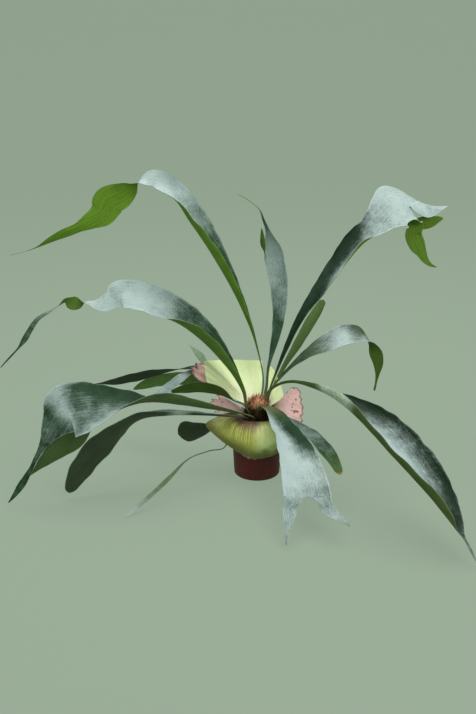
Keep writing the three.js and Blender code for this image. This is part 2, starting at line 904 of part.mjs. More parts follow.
const SHIELDS = [
  {
    // the green bib over the pot's front rim
    name: "shield_front",
    color: FRESH,
    ribs: [
      wrapped(-180, [24, 120], [46, 129], [66, 128], [82, 120], [97, 112]),
      wrapped(-168, [24, 118], [44, 128], [66, 128], [87, 117], [103, 107]),
      wrapped(-147, [24, 116], [42, 126], [63, 121], [75, 100], [77, 81]),
      wrapped(-120, [24, 115], [42, 126], [63, 118], [71, 89], [60, 62]),
      wrapped(-93, [25, 115], [42, 126], [63, 117], [70, 84], [57, 55]),
      wrapped(-66, [25, 115], [42, 126], [63, 119], [70, 86], [58, 57]),
      wrapped(-38, [25, 117], [42, 127], [62, 122], [71, 92], [61, 66]),
      wrapped(-12, [26, 120], [44, 130], [62, 127], [73, 106], [72, 87]),
    ],
  },
  {
    // an older, dried shield from the crown over the rim, whose edge shows under the bib
    name: "old_shield_front",
    color: DRY,
    ribs: [
      wrapped(-140, [31, 104.5], [42, 100.5], [54, 98.2], [61, 90], [60, 80], [57, 68]),
      wrapped(-122, [26, 106.5], [40, 100.8], [54, 98.2], [60.5, 90], [59, 76], [54.5, 56]),
      wrapped(-105, [24, 108], [40, 100.8], [54, 98.2], [60, 90], [58, 74], [53.5, 49.5]),
      wrapped(-88, [24, 108], [40, 100.8], [54, 98.2], [60.5, 90], [59, 76], [54, 52]),
      wrapped(-65, [24, 109], [40, 101], [54, 98.2], [61, 90], [60, 80], [56, 66]),
    ],
  },
  {
    // the pale upright shield behind the crown, its near lobe rolled forward
    name: "shield_rear",
    color: PALE,
    ribs: [
      [[-19, 4, 141], [-42, 8, 155], [-60, 10, 163], [-77, 10, 171]],
      [[-17, 7, 142], [-54, 14, 164], [-80, 18, 177], [-105, 19, 190]],
      [[-15, 10, 143], [-53, 21, 177], [-80, 27, 202], [-108, 31, 227]],
      [[-12, 12, 143], [-34, 26, 179], [-49, 34, 203], [-64, 40, 227]],
      [[-6, 13, 143], [-14, 28, 178], [-18, 36, 202], [-24, 42, 226]],
      [[1, 13, 143], [3, 27, 177], [6, 36, 200], [9, 41, 225]],
    ],
  },
  {
    // a small pale shield behind the right-hand stalks
    name: "shield_right",
    color: PALE,
    ribs: [
      [[18, 11, 136], [38, 16, 152], [54, 19, 160], [60, 20, 166]],
      [[16, 13, 138], [28, 22, 160], [40, 28, 172], [50, 32, 180]],
      [[13, 15, 139], [21, 27, 170], [28, 38, 188], [34, 47, 205]],
      [[9, 16, 140], [16, 31, 173], [20, 42, 191], [23, 51, 211]],
    ],
  },
  {
    // last year's shield on the right, dried to pinkish paper
    name: "old_shield_right",
    color: DRY,
    ribs: [
      [[22, -9, 128], [39, -18, 134], [64, -28, 129], [88, -36, 116]],
      [[23, -6, 131], [41, -8, 143], [67, -12, 142], [92, -16, 140]],
      [[23, -2, 134], [41, 2, 156], [65, 4, 163], [87, 6, 172]],
      [[21, 2, 137], [38, 9, 161], [56, 15, 171], [72, 23, 180]],
    ],
  },
  {
    // last year's shield on the left, low and curled, mostly under the fresh ones
    name: "old_shield_left",
    color: DRY,
    ribs: [
      [[-20, -3, 127], [-48, -6, 138], [-76, -10, 142], [-98, -12, 146]],
      [[-20, -1, 129], [-50, -2, 141], [-78, -4, 148], [-99, -5, 155]],
      [[-20, 1, 131], [-48, 2, 144], [-72, 2, 154], [-92, 2, 164]],
    ],
  },
  {
    // an old papery shield that stands behind the pale one and shows past its left edge
    name: "old_shield_rear",
    color: DRY,
    ribs: [
      [[-16, 9, 133], [-50, 17, 158], [-86, 22, 173], [-121, 25, 190]],
      [[-14, 11, 134], [-50, 23, 171], [-85, 31, 195], [-125, 35, 212]],
      [[-11, 12, 136], [-36, 28, 175], [-60, 38, 198], [-98, 42, 219]],
      [[-6, 14, 138], [-15, 30, 172], [-22, 41, 194], [-40, 47, 212]],
    ],
  },
  {
    // an old brown shield that wraps the back of the potting mix and hangs over the rim
    name: "old_shield_back",
    color: DRY,
    ribs: [
      wrapped(172, [24, 108], [42, 109], [57, 103], [63, 92], [64, 84]),
      wrapped(150, [24, 109], [42, 110], [58, 105], [64, 90], [61, 76]),
      wrapped(122, [24, 109], [43, 111], [59, 105], [63, 86], [58, 66]),
      wrapped(90, [23, 110], [43, 112], [59, 106], [64, 86], [58, 61]),
      wrapped(60, [23, 110], [43, 112], [60, 107], [65, 90], [61, 70]),
      wrapped(32, [24, 111], [43, 113], [60, 109], [67, 95], [66, 80]),
      wrapped(8, [25, 111], [43, 113], [59, 110], [68, 100], [71, 90]),
    ],
  },
];

// ---------------------------------------------------------------- the plant in its pot

const LEAF = "#5f7f52";
const POT_RED = "#4a1c1b";
const BARK = "#4b3a2b";
const SCALE = "#a5704c";

function assemble() {
  const plant = new THREE.Group();
  let crown = crownScales().reduce((body, scale) => body.add(scale), crownBody(0));
  for (const shield of SHIELDS) {
    plant.add(meshOf(shield.name, shieldSolid(shield.ribs, 0), shield.color, 0.6));
    crown = crown.subtract(shieldSolid(shield.ribs, FIT));
  }
  for (const frond of FRONDS) {
    plant.add(meshOf(frond.name, frondSolid(frond), LEAF, 0.6));
    crown = crown.subtract(socketSolid(frond));
  }
  plant.add(meshOf("crown", largestBody(crown), SCALE, 0.9));
  plant.add(meshOf("potting_mix", makeMix().subtract(crownBody(FIT)), BARK, 0.95));
  plant.add(meshOf("pot", makePot(), POT_RED, 0.45));
  return plant;
}

export default assemble();
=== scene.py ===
import math

import bpy
import numpy as np
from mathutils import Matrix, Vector


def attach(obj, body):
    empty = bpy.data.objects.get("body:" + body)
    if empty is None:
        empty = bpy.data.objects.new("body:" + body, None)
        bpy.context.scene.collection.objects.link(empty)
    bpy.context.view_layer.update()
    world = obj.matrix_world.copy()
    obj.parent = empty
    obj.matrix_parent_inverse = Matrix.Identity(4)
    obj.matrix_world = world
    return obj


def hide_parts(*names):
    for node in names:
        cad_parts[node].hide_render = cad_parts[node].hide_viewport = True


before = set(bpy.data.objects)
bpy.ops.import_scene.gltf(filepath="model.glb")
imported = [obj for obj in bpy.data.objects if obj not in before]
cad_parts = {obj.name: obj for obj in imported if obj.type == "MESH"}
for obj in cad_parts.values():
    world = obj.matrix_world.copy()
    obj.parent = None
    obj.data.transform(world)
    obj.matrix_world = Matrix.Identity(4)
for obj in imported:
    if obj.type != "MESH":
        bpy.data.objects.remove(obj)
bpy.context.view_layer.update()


# ---------------------------------------------------------------- the pot
# A small nursery pot of dark red-brown polypropylene, moulded in one piece: a tapered wall, a
# rounded heel, a thin rolled rim and a floor with five drain holes. It stands on its flat foot.
POT_WALL = (
    # radius and height in mm, from the middle of the foot round the outside and back inside
    (0, 0), (20, 0), (38, 0), (41, 0.05), (43.2, 0.5), (45, 2), (46, 4), (46.5, 12), (48.5, 50),
    (50.4, 84), (50.6, 87), (52.6, 87.6), (54.4, 88), (54.7, 89.5), (55, 93.6), (54.8, 95.4),
    (54.3, 96), (53.4, 95.9), (52.8, 95.2), (52.4, 89.5), (50.2, 87.4), (48.9, 86), (48.7, 84),
    (46.6, 45), (44.6, 7), (43.6, 4.6), (40, 2.4), (20, 2.4), (0, 2.4),
)
POT_SIDES, POT_CREASE = 144, 40
DRAIN = {"count": 5, "circle": 28, "radius": 4, "sides": 28, "low": -4, "high": 7}


def turned(profile, sides):
    """A (radius, height) profile turned about the pot's axis: x = r cos a, y = r sin a, z = h.
    Both ends lie on the axis, where the ring closes to one point."""
    profile = np.array(profile, float)
    angle = np.linspace(0, 2 * np.pi, sides, endpoint=False)
    radius, height = profile[1:-1, 0], profile[1:-1, 1]
    rings = np.stack(
        [np.outer(radius, np.cos(angle)), np.outer(radius, np.sin(angle)),
         np.repeat(height[:, None], sides, 1)], -1)
    here = np.arange(sides)
    after = (here + 1) % sides
    low = (np.arange(len(radius) - 1) * sides)[:, None]
    wall = np.stack([low + here, low + after, low + sides + after, low + sides + here], -1)
    first, last = len(radius) * sides, len(radius) * sides + 1
    foot = np.stack([np.full(sides, first), after, here], -1)
    top = (len(radius) - 1) * sides
    lid = np.stack([np.full(sides, last), top + here, top + after], -1)
    points = np.vstack([rings.reshape(-1, 3), [[0, 0, profile[0, 1]], [0, 0, profile[-1, 1]]]])
    return points, wall.reshape(-1, 4).tolist() + foot.tolist() + lid.tolist()


def mesh_of(name, points, faces):
    """A mesh of points in metres and of faces, each a list of point numbers."""
    mesh = bpy.data.meshes.new(name)
    mesh.from_pydata(points.tolist(), [], faces)
    return mesh


def creased(mesh, degrees):
    """Shades the mesh smooth, with a sharp edge where faces meet at more than so many degrees."""
    mesh.shade_smooth()
    mesh.set_sharp_from_angle(angle=math.radians(degrees))


def shown(name, data):
    """An object in the scene that holds a mesh, a lamp or a camera."""
    made = bpy.data.objects.new(name, data)
    bpy.context.scene.collection.objects.link(made)
    return made


def piece(name, points, faces, finish, slot, stands_for=(), fields=None, crease=55):
    """A mesh of points in mm, which rides on the plant and stands for its CAD nodes. Each field
    is one number or one vector per point that the finish reads."""
    mesh = mesh_of(name, np.asarray(points) / 1000, faces)
    for field, values in (fields or {}).items():
        flat = np.ascontiguousarray(values, np.float32)
        kind, key = ("FLOAT", "value") if flat.ndim == 1 else ("FLOAT_VECTOR", "vector")
        mesh.attributes.new(field, kind, "POINT").data.foreach_set(key, flat.ravel())
    creased(mesh, crease)
    mesh.materials.append(finish)
    made = shown(name, mesh)
    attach(made, "root")
    if stands_for:
        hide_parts(*stands_for)
    return made


class Wire:
    """One output of a shader tree. An expression on it adds the Math nodes that work it out."""

    def __init__(self, tree, socket):
        self.tree, self.socket = tree, socket

    def math(self, operation, *values):
        """A Math node of that operation on the values."""
        node = self.tree.nodes.new("ShaderNodeMath")
        node.operation = operation
        for socket, value in zip(node.inputs, values):
            plug(self.tree, socket, value)
        return Wire(self.tree, node.outputs[0])

    def __add__(self, other):
        return self.math("ADD", self, other)

    def __sub__(self, other):
        return self.math("SUBTRACT", self, other)

    def __rsub__(self, other):
        return self.math("SUBTRACT", other, self)

    def __mul__(self, other):
        return self.math("MULTIPLY", self, other)

    __radd__ = __add__
    __rmul__ = __mul__

    def sine(self):
        return self.math("SINE", self)

    def clip(self):
        """The value, held between 0 and 1."""
        return self.math("MINIMUM", self.math("MAXIMUM", self, 0.0), 1.0)

    def step(self, low, high):
        """A smooth step from 0 at low to 1 at high."""
        share = ((self - low) * (1 / (high - low))).clip()
        return share * share * (3 - 2 * share)


def plug(tree, socket, value):
    """Links a wire to the socket, or sets a plain number, vector or colour on it."""
    if isinstance(value, Wire):
        tree.links.new(value.socket, socket)
    elif isinstance(value, tuple) and len(value) == 3 and len(socket.default_value) == 4:
        socket.default_value = (*value, 1)
    else:
        socket.default_value = value


class Finish:
    """A material in the making: a tree of nodes that ends in one Principled shader."""

    def __init__(self, name, **shader):
        self.material = bpy.data.materials.new(name)
        self.material.use_nodes = True
        self.tree = self.material.node_tree
        self.shader = self.tree.nodes["Principled BSDF"]
        for socket, value in shader.items():
            self.shader.inputs[socket.replace("_", " ")].default_value = value

    def node(self, kind, settings, inputs, output=0):
        """A node of that kind: its settings first, then the values or links of its sockets."""
        node = self.tree.nodes.new("ShaderNode" + kind)
        for key, value in settings.items():
            if key == "stops":
                ramp = node.color_ramp.elements
                while len(ramp) < len(value):
                    ramp.new(0.5)
                for stop, (place, colour) in zip(ramp, value):
                    stop.position, stop.color = place, (*colour, 1)
            else:
                setattr(node, key, value)
        for socket, value in inputs.items():
            plug(self.tree, node.inputs[socket], value)
        return Wire(self.tree, node.outputs[output])

    def place(self):
        """The point of the surface, in metres from the middle of the pot's foot."""
        return self.node("TexCoord", {}, {}, "Object")

    def field(self, name, output="Fac"):
        """What the mesh holds under that name at each point."""
        return self.node("Attribute", {"attribute_name": name}, {}, output)

    def noise(self, where, scale, detail=3.0, rough=0.55, stretch=None):
        """Noise about 1 / scale across, drawn out along the axes where stretch is small."""
        if stretch:
            where = self.node("VectorMath", {"operation": "MULTIPLY"}, {0: where, 1: stretch})
        return self.node("TexNoise", {}, {"Vector": where, "Scale": scale, "Detail": detail,
                                          "Roughness": rough})

    def part(self, vector, axis):
        """One axis of a vector."""
        return self.node("SeparateXYZ", {}, {0: vector}, axis)

    def scaled(self, vector, by):
        """A vector or colour times a number."""
        return self.node("VectorMath", {"operation": "SCALE"}, {0: vector, "Scale": by})

    def mix(self, share, a, b):
        """The colour a where share is 0, b where it is 1, and evenly between them."""
        return self.node("Mix", {"data_type": "RGBA"}, {0: share, 6: a, 7: b}, 2)

    def done(self, colour, roughness, height, depth):
        """Joins the colour, the roughness and a relief of so many mm to the shader."""
        bump = self.node("Bump", {}, {"Height": height, "Distance": depth / 1000})
        for socket, value in (("Base Color", colour), ("Roughness", roughness), ("Normal", bump)):
            plug(self.tree, self.shader.inputs[socket], value)
        return self.material


def moulded_plastic():
    """Matt plastic: a broad unevenness of colour, dust that lies thicker low down, fine upright
    scuffs, and a faint grain in the surface."""
    finish = Finish("pot_plastic", Specular_IOR_Level=0.26)
    at = finish.place()
    broad = finish.noise(at, 22, 2)
    scuff = finish.noise(at, 60, 4, 0.6, stretch=(1, 1, 0.16)).step(0.56, 0.74)
    height = finish.part(at, "Z")
    dust = (finish.noise(at, 90, 5, 0.7).step(0.45, 0.7) * (1 - height.step(0.0, 0.05))) * 0.55
    base = finish.mix(broad, (0.072, 0.0065, 0.0056), (0.118, 0.0150, 0.0125))
    worn = finish.mix(scuff * 0.35, base, (0.085, 0.028, 0.024))
    colour = finish.mix(dust * 0.4, worn, (0.13, 0.075, 0.06))
    rough = 0.46 + broad * 0.12 + dust * 0.25
    grain = finish.noise(at, 900, 2) * 0.4 + scuff
    return finish.done(colour, rough, grain, 0.12)


def drilled(shell):
    """The pot with its drain holes: short posts on a circle are cut out of the floor."""
    angle = 2 * np.pi * (np.arange(DRAIN["count"]) + 0.5) / DRAIN["count"]
    low, high, radius = DRAIN["low"], DRAIN["high"], DRAIN["radius"]
    post, faces = turned([(0, low), (radius, low), (radius, high), (0, high)], DRAIN["sides"])
    middles = DRAIN["circle"] * np.stack([np.cos(angle), np.sin(angle), 0 * angle], -1)
    posts = (middles[:, None] + post[None]).reshape(-1, 3)
    all_faces = [[v + k * len(post) for v in face] for k in range(len(angle)) for face in faces]
    cutter = shown("drain_posts", mesh_of("drain_posts", posts / 1000, all_faces))
    cut = shell.modifiers.new("drain", "BOOLEAN")
    cut.operation, cut.solver, cut.object = "DIFFERENCE", "EXACT", cutter
    graph = bpy.context.evaluated_depsgraph_get()
    whole = bpy.data.meshes.new_from_object(shell.evaluated_get(graph))
    shell.modifiers.clear()
    shell.data = whole
    bpy.data.objects.remove(cutter)
    creased(whole, POT_CREASE)


drilled(piece("plant_pot", *turned(POT_WALL, POT_SIDES), moulded_plastic(), "pot_plastic", ["pot"],
              crease=POT_CREASE))


# ---------------------------------------------------------------- the potting mix
# Coarse composted bark with a little moss, filled to just under the rim and heaped under the
# crown. It is loose, so it is a lumpy bed with single chips of bark lying on it.
# Lengths are in mm, and the side is the radius and height of points up the inside of the pot.
MIX = {"edge": 88, "dome": 15, "radius": 47, "hill": 1.1, "hill_size": 9, "chips": 110,
       "chip_half": ((4.5, 2.6, 0.9), (8.5, 4.4, 1.7)), "chip_ring": (27, 41)}
MIX_SIDE = ((0, 2.9), (20, 2.9), (38.8, 2.9), (43.5, 7), (45, 40), (46.8, 82), (47.2, 85.5))


def lumps(x, y, size, seed):
    """Shallow hills of about that size in mm: the sum of seven sine waves in seeded directions."""
    draw = np.random.default_rng(seed)
    turn, phase = draw.uniform(0, 2 * np.pi, (2, 7))
    wave = 2 * np.pi / (size * draw.uniform(0.6, 1.6, 7))
    x, y = x[..., None], y[..., None]
    return np.sin((x * np.cos(turn) + y * np.sin(turn)) * wave + phase).mean(-1)


def bark_mix():
    """Dark bark and moss: cells for the chips, green where the moss has grown, fine crumbs."""
    finish = Finish("bark_mix", Specular_IOR_Level=0.25)
    at = finish.place()
    cell = finish.node("TexVoronoi", {}, {"Vector": at, "Scale": 150.0}, "Distance")
    tone = finish.noise(at, 190, 5, 0.65)
    moss = finish.noise(at, 45, 4).step(0.52, 0.62)
    bark = finish.node("ValToRGB", {"stops": [
        (0.25, (0.010, 0.006, 0.004)), (0.5, (0.045, 0.026, 0.015)), (0.75, (0.13, 0.085, 0.052))]},
        {0: tone})
    colour = finish.mix(moss * 0.7, bark, (0.075, 0.085, 0.022))
    return finish.done(colour, 0.82 + tone * 0.15, tone + (1 - cell) * 0.8, 1.2)


def bed_height(x, y):
    """The bed is a dome, z = edge + dome (1 - (r / radius)^2), with low hills on it."""
    dome = MIX["dome"] * np.clip(1 - (np.hypot(x, y) / MIX["radius"]) ** 2, 0, 1)
    return MIX["edge"] + dome + MIX["hill"] * lumps(x, y, MIX["hill_size"], 3)


def bark_chips(finish):
    """Chips of bark: blocks of 9 to 17 mm with shaken corners, each turned and laid on the bed."""
    draw = np.random.default_rng(11)
    count = MIX["chips"]
    corner = np.array([(x, y, z) for z in (-1, 1) for y in (-1, 1) for x in (-1, 1)], float)
    size = draw.uniform(*MIX["chip_half"], (count, 3))
    block = corner * size[:, None] * draw.uniform(0.62, 1, (count, 8, 3))
    yaw, tilt = draw.uniform(0, 2 * np.pi, count), draw.normal(0, 0.16, count)
    c, s, ct, st = np.cos(yaw), np.sin(yaw), np.cos(tilt), np.sin(tilt)
    turn = np.stack([np.stack([c, -s * ct, s * st], -1), np.stack([s, c * ct, -c * st], -1),
                     np.stack([0 * c, st, ct], -1)], 1)
    block = np.einsum("nij,nkj->nki", turn, block)
    radius, angle = draw.uniform(*MIX["chip_ring"], count), draw.uniform(0, 2 * np.pi, count)
    x, y = radius * np.cos(angle), radius * np.sin(angle)
    block += np.stack([x, y, bed_height(x, y) + 0.5], -1)[:, None]
    sides = np.array([(0, 2, 3, 1), (4, 5, 7, 6), (0, 1, 5, 4), (2, 6, 7, 3), (0, 4, 6, 2),
                      (1, 3, 7, 5)])
    faces = (sides[None] + 8 * np.arange(count)[:, None, None]).reshape(-1, 4)
    chips = piece("bark_chips", block.reshape(-1, 3), faces.tolist(), finish, "bark", crease=30)
    edge = chips.modifiers.new("worn_edges", "BEVEL")
    edge.width, edge.segments = 0.0005, 2


mix_finish = bark_mix()
mix_points, mix_faces = turned(
    [*MIX_SIDE, *((r, MIX["edge"]) for r in np.linspace(46.6, 0, 34))], 120)
top = mix_points[:, 2] >= MIX["edge"] - 0.01
mix_points[top, 2] = bed_height(mix_points[top, 0], mix_points[top, 1])
piece("potting_bed", mix_points, mix_faces, mix_finish, "bark", ["potting_mix"])
bark_chips(mix_finish)


# ---------------------------------------------------------------- the crown
# The crown is the fern's creeping stem: a dark, fibrous knob of old roots that sits in the bark.
# Thin papery orange-brown scales cover it, and wiry roots run from it over the potting mix.
# Lengths are in mm. The scales grow from top to bottom, two sines of the elevation, and they are
# black below the first height of the dark band, in metres, and orange-brown above the second. The
# black stands partly for old scales and partly for painted shade low on the crown.
CROWN = {"middle": (2, -4, 128), "reach": (27, 26, 35)}
SCALES = {"count": 560, "length": (6, 12.5), "half": (0.8, 1.9), "half_thick": 0.12,
          "top": 0.99, "bottom": -0.25, "old_and_shaded_below": (0.143, 0.155)}
ROOTS = {"count": 170, "reach": (34, 44.5), "half": (0.45, 0.9), "sway": 2.6, "lift": 0.9}


def crown_at(azimuth, elevation, outset):
    """A point on a tall egg with shallow lumps, so far outside it in mm: each half axis grows by
    the outset and by the lumps, which die out towards the top and the bottom."""
    flat = np.cos(elevation)
    lump = np.sin(5 * azimuth + 1) * np.cos(3 * elevation)
    lump = lump + 0.6 * np.sin(8 * azimuth + 4 * elevation)
    axes = np.array(CROWN["reach"]) + (outset + 1.6 * lump * flat)[..., None]
    way = np.stack([flat * np.cos(azimuth), flat * np.sin(azimuth), np.sin(elevation)], -1)
    return np.array(CROWN["middle"]) + axes * way


def tubes(centre, side, up, wide, thick, corners):
    """Closed tubes along many centre lines at once, each (tubes, stations, 3): a corner lies at
    centre + side wide cos f + up thick sin f, for angles f spread evenly round."""
    count, stations = wide.shape
    f = 2 * np.pi * np.arange(corners) / corners
    ring = (centre[:, :, None] + side[:, :, None] * (wide[..., None] * np.cos(f))[..., None]
            + up[:, :, None] * (thick[..., None] * np.sin(f))[..., None])
    number = np.arange(count * stations * corners).reshape(count, stations, corners)
    after = np.roll(number, -1, 2)
    wall = np.stack([number[:, :-1], after[:, :-1], after[:, 1:], number[:, 1:]], -1)
    faces = wall.reshape(-1, 4).tolist() + number[:, 0, ::-1].tolist() + number[:, -1].tolist()
    return ring.reshape(-1, 3), faces


def unit(vectors):
    """Each vector divided by its length."""
    return vectors / np.linalg.norm(vectors, axis=-1, keepdims=True)


def fibrous_stem():
    """Old roots matted together: dark, with paler strands that run up and down."""
    finish = Finish("fibrous_stem", Specular_IOR_Level=0.2)
    at = finish.place()
    strand = finish.noise(at, 420, 4, 0.6, stretch=(1, 1, 0.18))
    tone = finish.noise(at, 120, 3)
    colour = finish.node("ValToRGB", {"stops": [
        (0.3, (0.010, 0.006, 0.004)), (0.55, (0.050, 0.026, 0.013)), (0.8, (0.16, 0.08, 0.035))]},
        {0: strand * 0.7 + tone * 0.4})
    return finish.done(colour, 0.85, strand, 1.0)


def papery_scales():
    """Orange-brown paper, darker towards the root of each scale and in its own shade of brown.
    Low on the crown the scales are almost black, partly for age and partly as painted shade."""
    finish = Finish("papery_scales", Specular_IOR_Level=0.3)
    at = finish.place()
    shade, tip = finish.field("shade"), finish.field("tip")
    ribbing = finish.noise(at, 700, 2)
    old = finish.mix(shade, (0.16, 0.060, 0.024), (0.52, 0.24, 0.11))
    colour = finish.mix(tip * (0.35 + shade * 0.6), old, (0.88, 0.52, 0.30))
    # Painted shade: below these heights the scales go almost black, partly for age and partly for
    # the shade low on the crown among the stalks and under the shields.
    high = finish.part(at, "Z").step(*SCALES["old_and_shaded_below"])
    old_black_and_shaded = finish.mix(shade, (0.012, 0.009, 0.004), (0.050, 0.028, 0.012))
    colour = finish.mix(high, old_black_and_shaded, colour)
    return finish.done(colour, 0.62 + ribbing * 0.2, ribbing, 0.3)


def old_root_mass():
    """The crown's core: a unit ball pushed out to the egg, with upright ridges and small lumps."""
    ball, faces = turned(
        [(np.cos(e), np.sin(e)) for e in np.linspace(-np.pi / 2, np.pi / 2, 72)], 108)
    azimuth = np.arctan2(ball[:, 1], ball[:, 0])
    elevation = np.arcsin(np.clip(ball[:, 2], -1, 1))
    ridges = 0.5 * np.sin(31 * azimuth + 5 * elevation) * np.cos(elevation)
    ridges += 0.8 * lumps(20 * azimuth * np.cos(elevation), 20 * elevation, 5, 5)
    return crown_at(azimuth, elevation, ridges - 0.8), faces


def scale_cover(draw):
    """Flat scales in a golden-angle spiral down the crown. Each rises from its root, stands out
    from the crown by its curl times the square of the share along it, and narrows to a point.
    Towards the top, where flake goes to 1, they are shorter, broader and lie closer."""
    many, share = SCALES["count"], np.linspace(0, 1, 6)
    turn = np.pi * (3 - np.sqrt(5)) * np.arange(many)
    rise = np.arcsin(np.linspace(SCALES["top"], SCALES["bottom"], many))
    rise = rise + draw.normal(0, 0.03, many)
    root = crown_at(turn, rise, np.full(many, -1.0))
    outward = unit(crown_at(turn, rise, np.full(many, 6.0)) - root)
    upward = np.array((0, 0, 1)) - outward * outward[:, 2:]
    upward += np.stack([np.cos(3 * turn), np.sin(3 * turn), 0 * turn], -1) * 0.25
    flake = np.clip(rise / 1.1, 0, 1)
    stand = draw.uniform(0.15, 1.0, (many, 1))
    along = unit(unit(upward) + outward * stand * (1 - 0.7 * flake)[:, None])
    side = unit(np.cross(along, outward))
    length = (draw.uniform(*SCALES["length"], many) * (1 - 0.30 * flake))[:, None]
    curl = (draw.uniform(-0.15, 0.6, many) + 0.5 * flake)[:, None]
    twist = draw.normal(0, 0.5, many)[:, None] * share
    run = along[:, None] * (length * share)[..., None]
    run = run + outward[:, None] * (length * curl * share ** 2)[..., None]
    ahead = unit(along[:, None] + outward[:, None] * (2 * curl * share)[..., None])
    up = np.cross(side[:, None] + 0 * ahead, ahead)
    sideways = side[:, None] * np.cos(twist)[..., None] + up * np.sin(twist)[..., None]
    width = (draw.uniform(*SCALES["half"], many) * (1 + 1.3 * flake))[:, None]
    width = width * np.sqrt(np.clip(1 - share ** 1.6, 0.004, 1))
    points, faces = tubes(root[:, None] + run, sideways, np.cross(ahead, sideways), width,
                          SCALES["half_thick"] + 0 * width, 4)
    shade = np.repeat(draw.uniform(0, 1, many), 24)
    piece("crown_scales", points, faces, papery_scales(), "scale",
          fields={"shade": shade, "tip": np.tile(np.repeat(share, 4), many)})


def root_mat(draw):
    """Wiry roots: each sways outwards from the crown as a sine, falls to the bed as the power 2.5
    of the share that is left, and thins to its end."""
    many, share = ROOTS["count"], np.linspace(0, 1, 10)
    azimuth, elevation = draw.uniform(0, 2 * np.pi, many), draw.uniform(-0.75, 0.1, many)
    start = crown_at(azimuth, elevation, np.zeros(many))
    x, y = CROWN["middle"][:2]
    heading = np.arctan2(start[:, 1] - y, start[:, 0] - x) + draw.normal(0, 0.45, many)
    reach = draw.uniform(*ROOTS["reach"], many)
    goal = np.stack([reach * np.cos(heading), reach * np.sin(heading)], -1)
    flat_run = start[:, None, :2] + (goal - start[:, :2])[:, None] * share[:, None]
    waves, phase = draw.uniform(0.6, 1.5, (many, 1)), draw.uniform(0, 1, (many, 1))
    sway = np.sin(2 * np.pi * (share * waves + phase))
    across = unit(np.stack([-(goal - start[:, :2])[:, 1], (goal - start[:, :2])[:, 0]], -1))
    flat_run = flat_run + across[:, None] * (ROOTS["sway"] * sway * share * (2 - share))[..., None]
    ground = bed_height(flat_run[..., 0], flat_run[..., 1]) + ROOTS["lift"]
    level = ground + np.maximum(start[:, 2:] - ground[:, :1], 0) * (1 - share) ** 2.5
    run = np.concatenate([flat_run, level[..., None]], -1)
    forward = unit(np.gradient(run, axis=1))
    side = unit(np.cross(forward, np.array((0, 0, 1.0))))
    thin = draw.uniform(*ROOTS["half"], many)[:, None] * (1 - 0.6 * share)
    points, faces = tubes(run, side, np.cross(side, forward), thin, thin, 6)
    piece("wiry_roots", points, faces, fibrous_stem(), "scale")


piece("crown_stem", *old_root_mass(), fibrous_stem(), "scale", ["crown"])
draw = np.random.default_rng(7)
scale_cover(draw)
root_mat(draw)


# ---------------------------------------------------------------- the shields
# Shield fronds are sterile leaves that clasp the crown and the pot. Fresh ones are thin, glossy
# and yellow-green with ribs that fan out from the crown; old ones have dried to pinkish paper.
# Each has its ribs, lists of points from crown to margin, and how wavy and how torn its margin is.
# Half the thickness and the pleats in mm, steps from rib to rib and from point to point of a rib,
# and the tears and waves of the margin in radians per mm.
SHEET = {"half": 0.42, "margin": 0.22, "across": 14, "along": 16, "tears": (0.21, 0.083, 0.9),
         "waves": (0.16, 0.37), "pleat": 0.16}


def slopes_of(rows, knots):
    """Slopes of a smooth curve through rows at their knots. Inside, the chords on both sides are
    averaged, the nearer one with the greater weight; each end bends on evenly from there."""
    step = np.diff(knots)[:, None]
    chord = np.diff(rows, axis=0) / step
    if len(rows) == 2:
        return np.vstack([chord, chord])
    inner = (chord[:-1] * step[1:] + chord[1:] * step[:-1]) / (step[:-1] + step[1:])
    first, last = 1.5 * chord[:1] - 0.5 * inner[:1], 1.5 * chord[-1:] - 0.5 * inner[-1:]
    return np.vstack([first, inner, last])


def hermite(p, q, m, n, x):
    """The cubic from p, with slope m, to q, with slope n, at the share x, and its slope there:
    p + x m + x^2 (3 (q - p) - 2 m - n) + x^3 (2 (p - q) + m + n)."""
    second, third = 3 * (q - p) - 2 * m - n, 2 * (p - q) + m + n
    return p + x * m + x ** 2 * second + x ** 3 * third, m + 2 * x * second + 3 * x ** 2 * third


def on_curve(rows, slopes, knots, t):
    """Value and slope at t of the cubics that join the rows at their knots."""
    i = np.clip(np.searchsorted(knots, t, side="right") - 1, 0, len(knots) - 2)
    h = (knots[i + 1] - knots[i])[:, None]
    x = (t - knots[i])[:, None] / h
    value, slope = hermite(rows[i], rows[i + 1], slopes[i] * h, slopes[i + 1] * h, x)
    return value, slope / h


def strip(number, ends):
    """Faces of a thin closed sheet. number holds the even numbers of its upper points, row by
    row, and the point under each has the next number. ends says which ends are closed."""
    a, b, c, d = number[:-1, :-1], number[1:, :-1], number[1:, 1:], number[:-1, 1:]
    left, right = number[:, -1], number[:, 0]
    faces = [np.stack([a, b, c, d], -1), np.stack([a, d, c, b], -1) + 1,
             np.stack([left[:-1], left[1:], left[1:] + 1, left[:-1] + 1], -1),
             np.stack([right[:-1], right[:-1] + 1, right[1:] + 1, right[1:]], -1)]
    first, last = number[0], number[-1]
    if ends[0]:
        faces.append(np.stack([first[:-1], first[1:], first[1:] + 1, first[:-1] + 1], -1))
    if ends[1]:
        faces.append(np.stack([last[:-1], last[:-1] + 1, last[1:] + 1, last[1:]], -1))
    return [face for block in faces for face in block.reshape(-1, 4).tolist()]


def wrapped(azimuth, *points):
    """Rib points (radius, height) in the upright plane at an azimuth about the pot's axis."""
    turn = math.radians(azimuth)
    return [(r * math.cos(turn), r * math.sin(turn), z) for r, z in points]


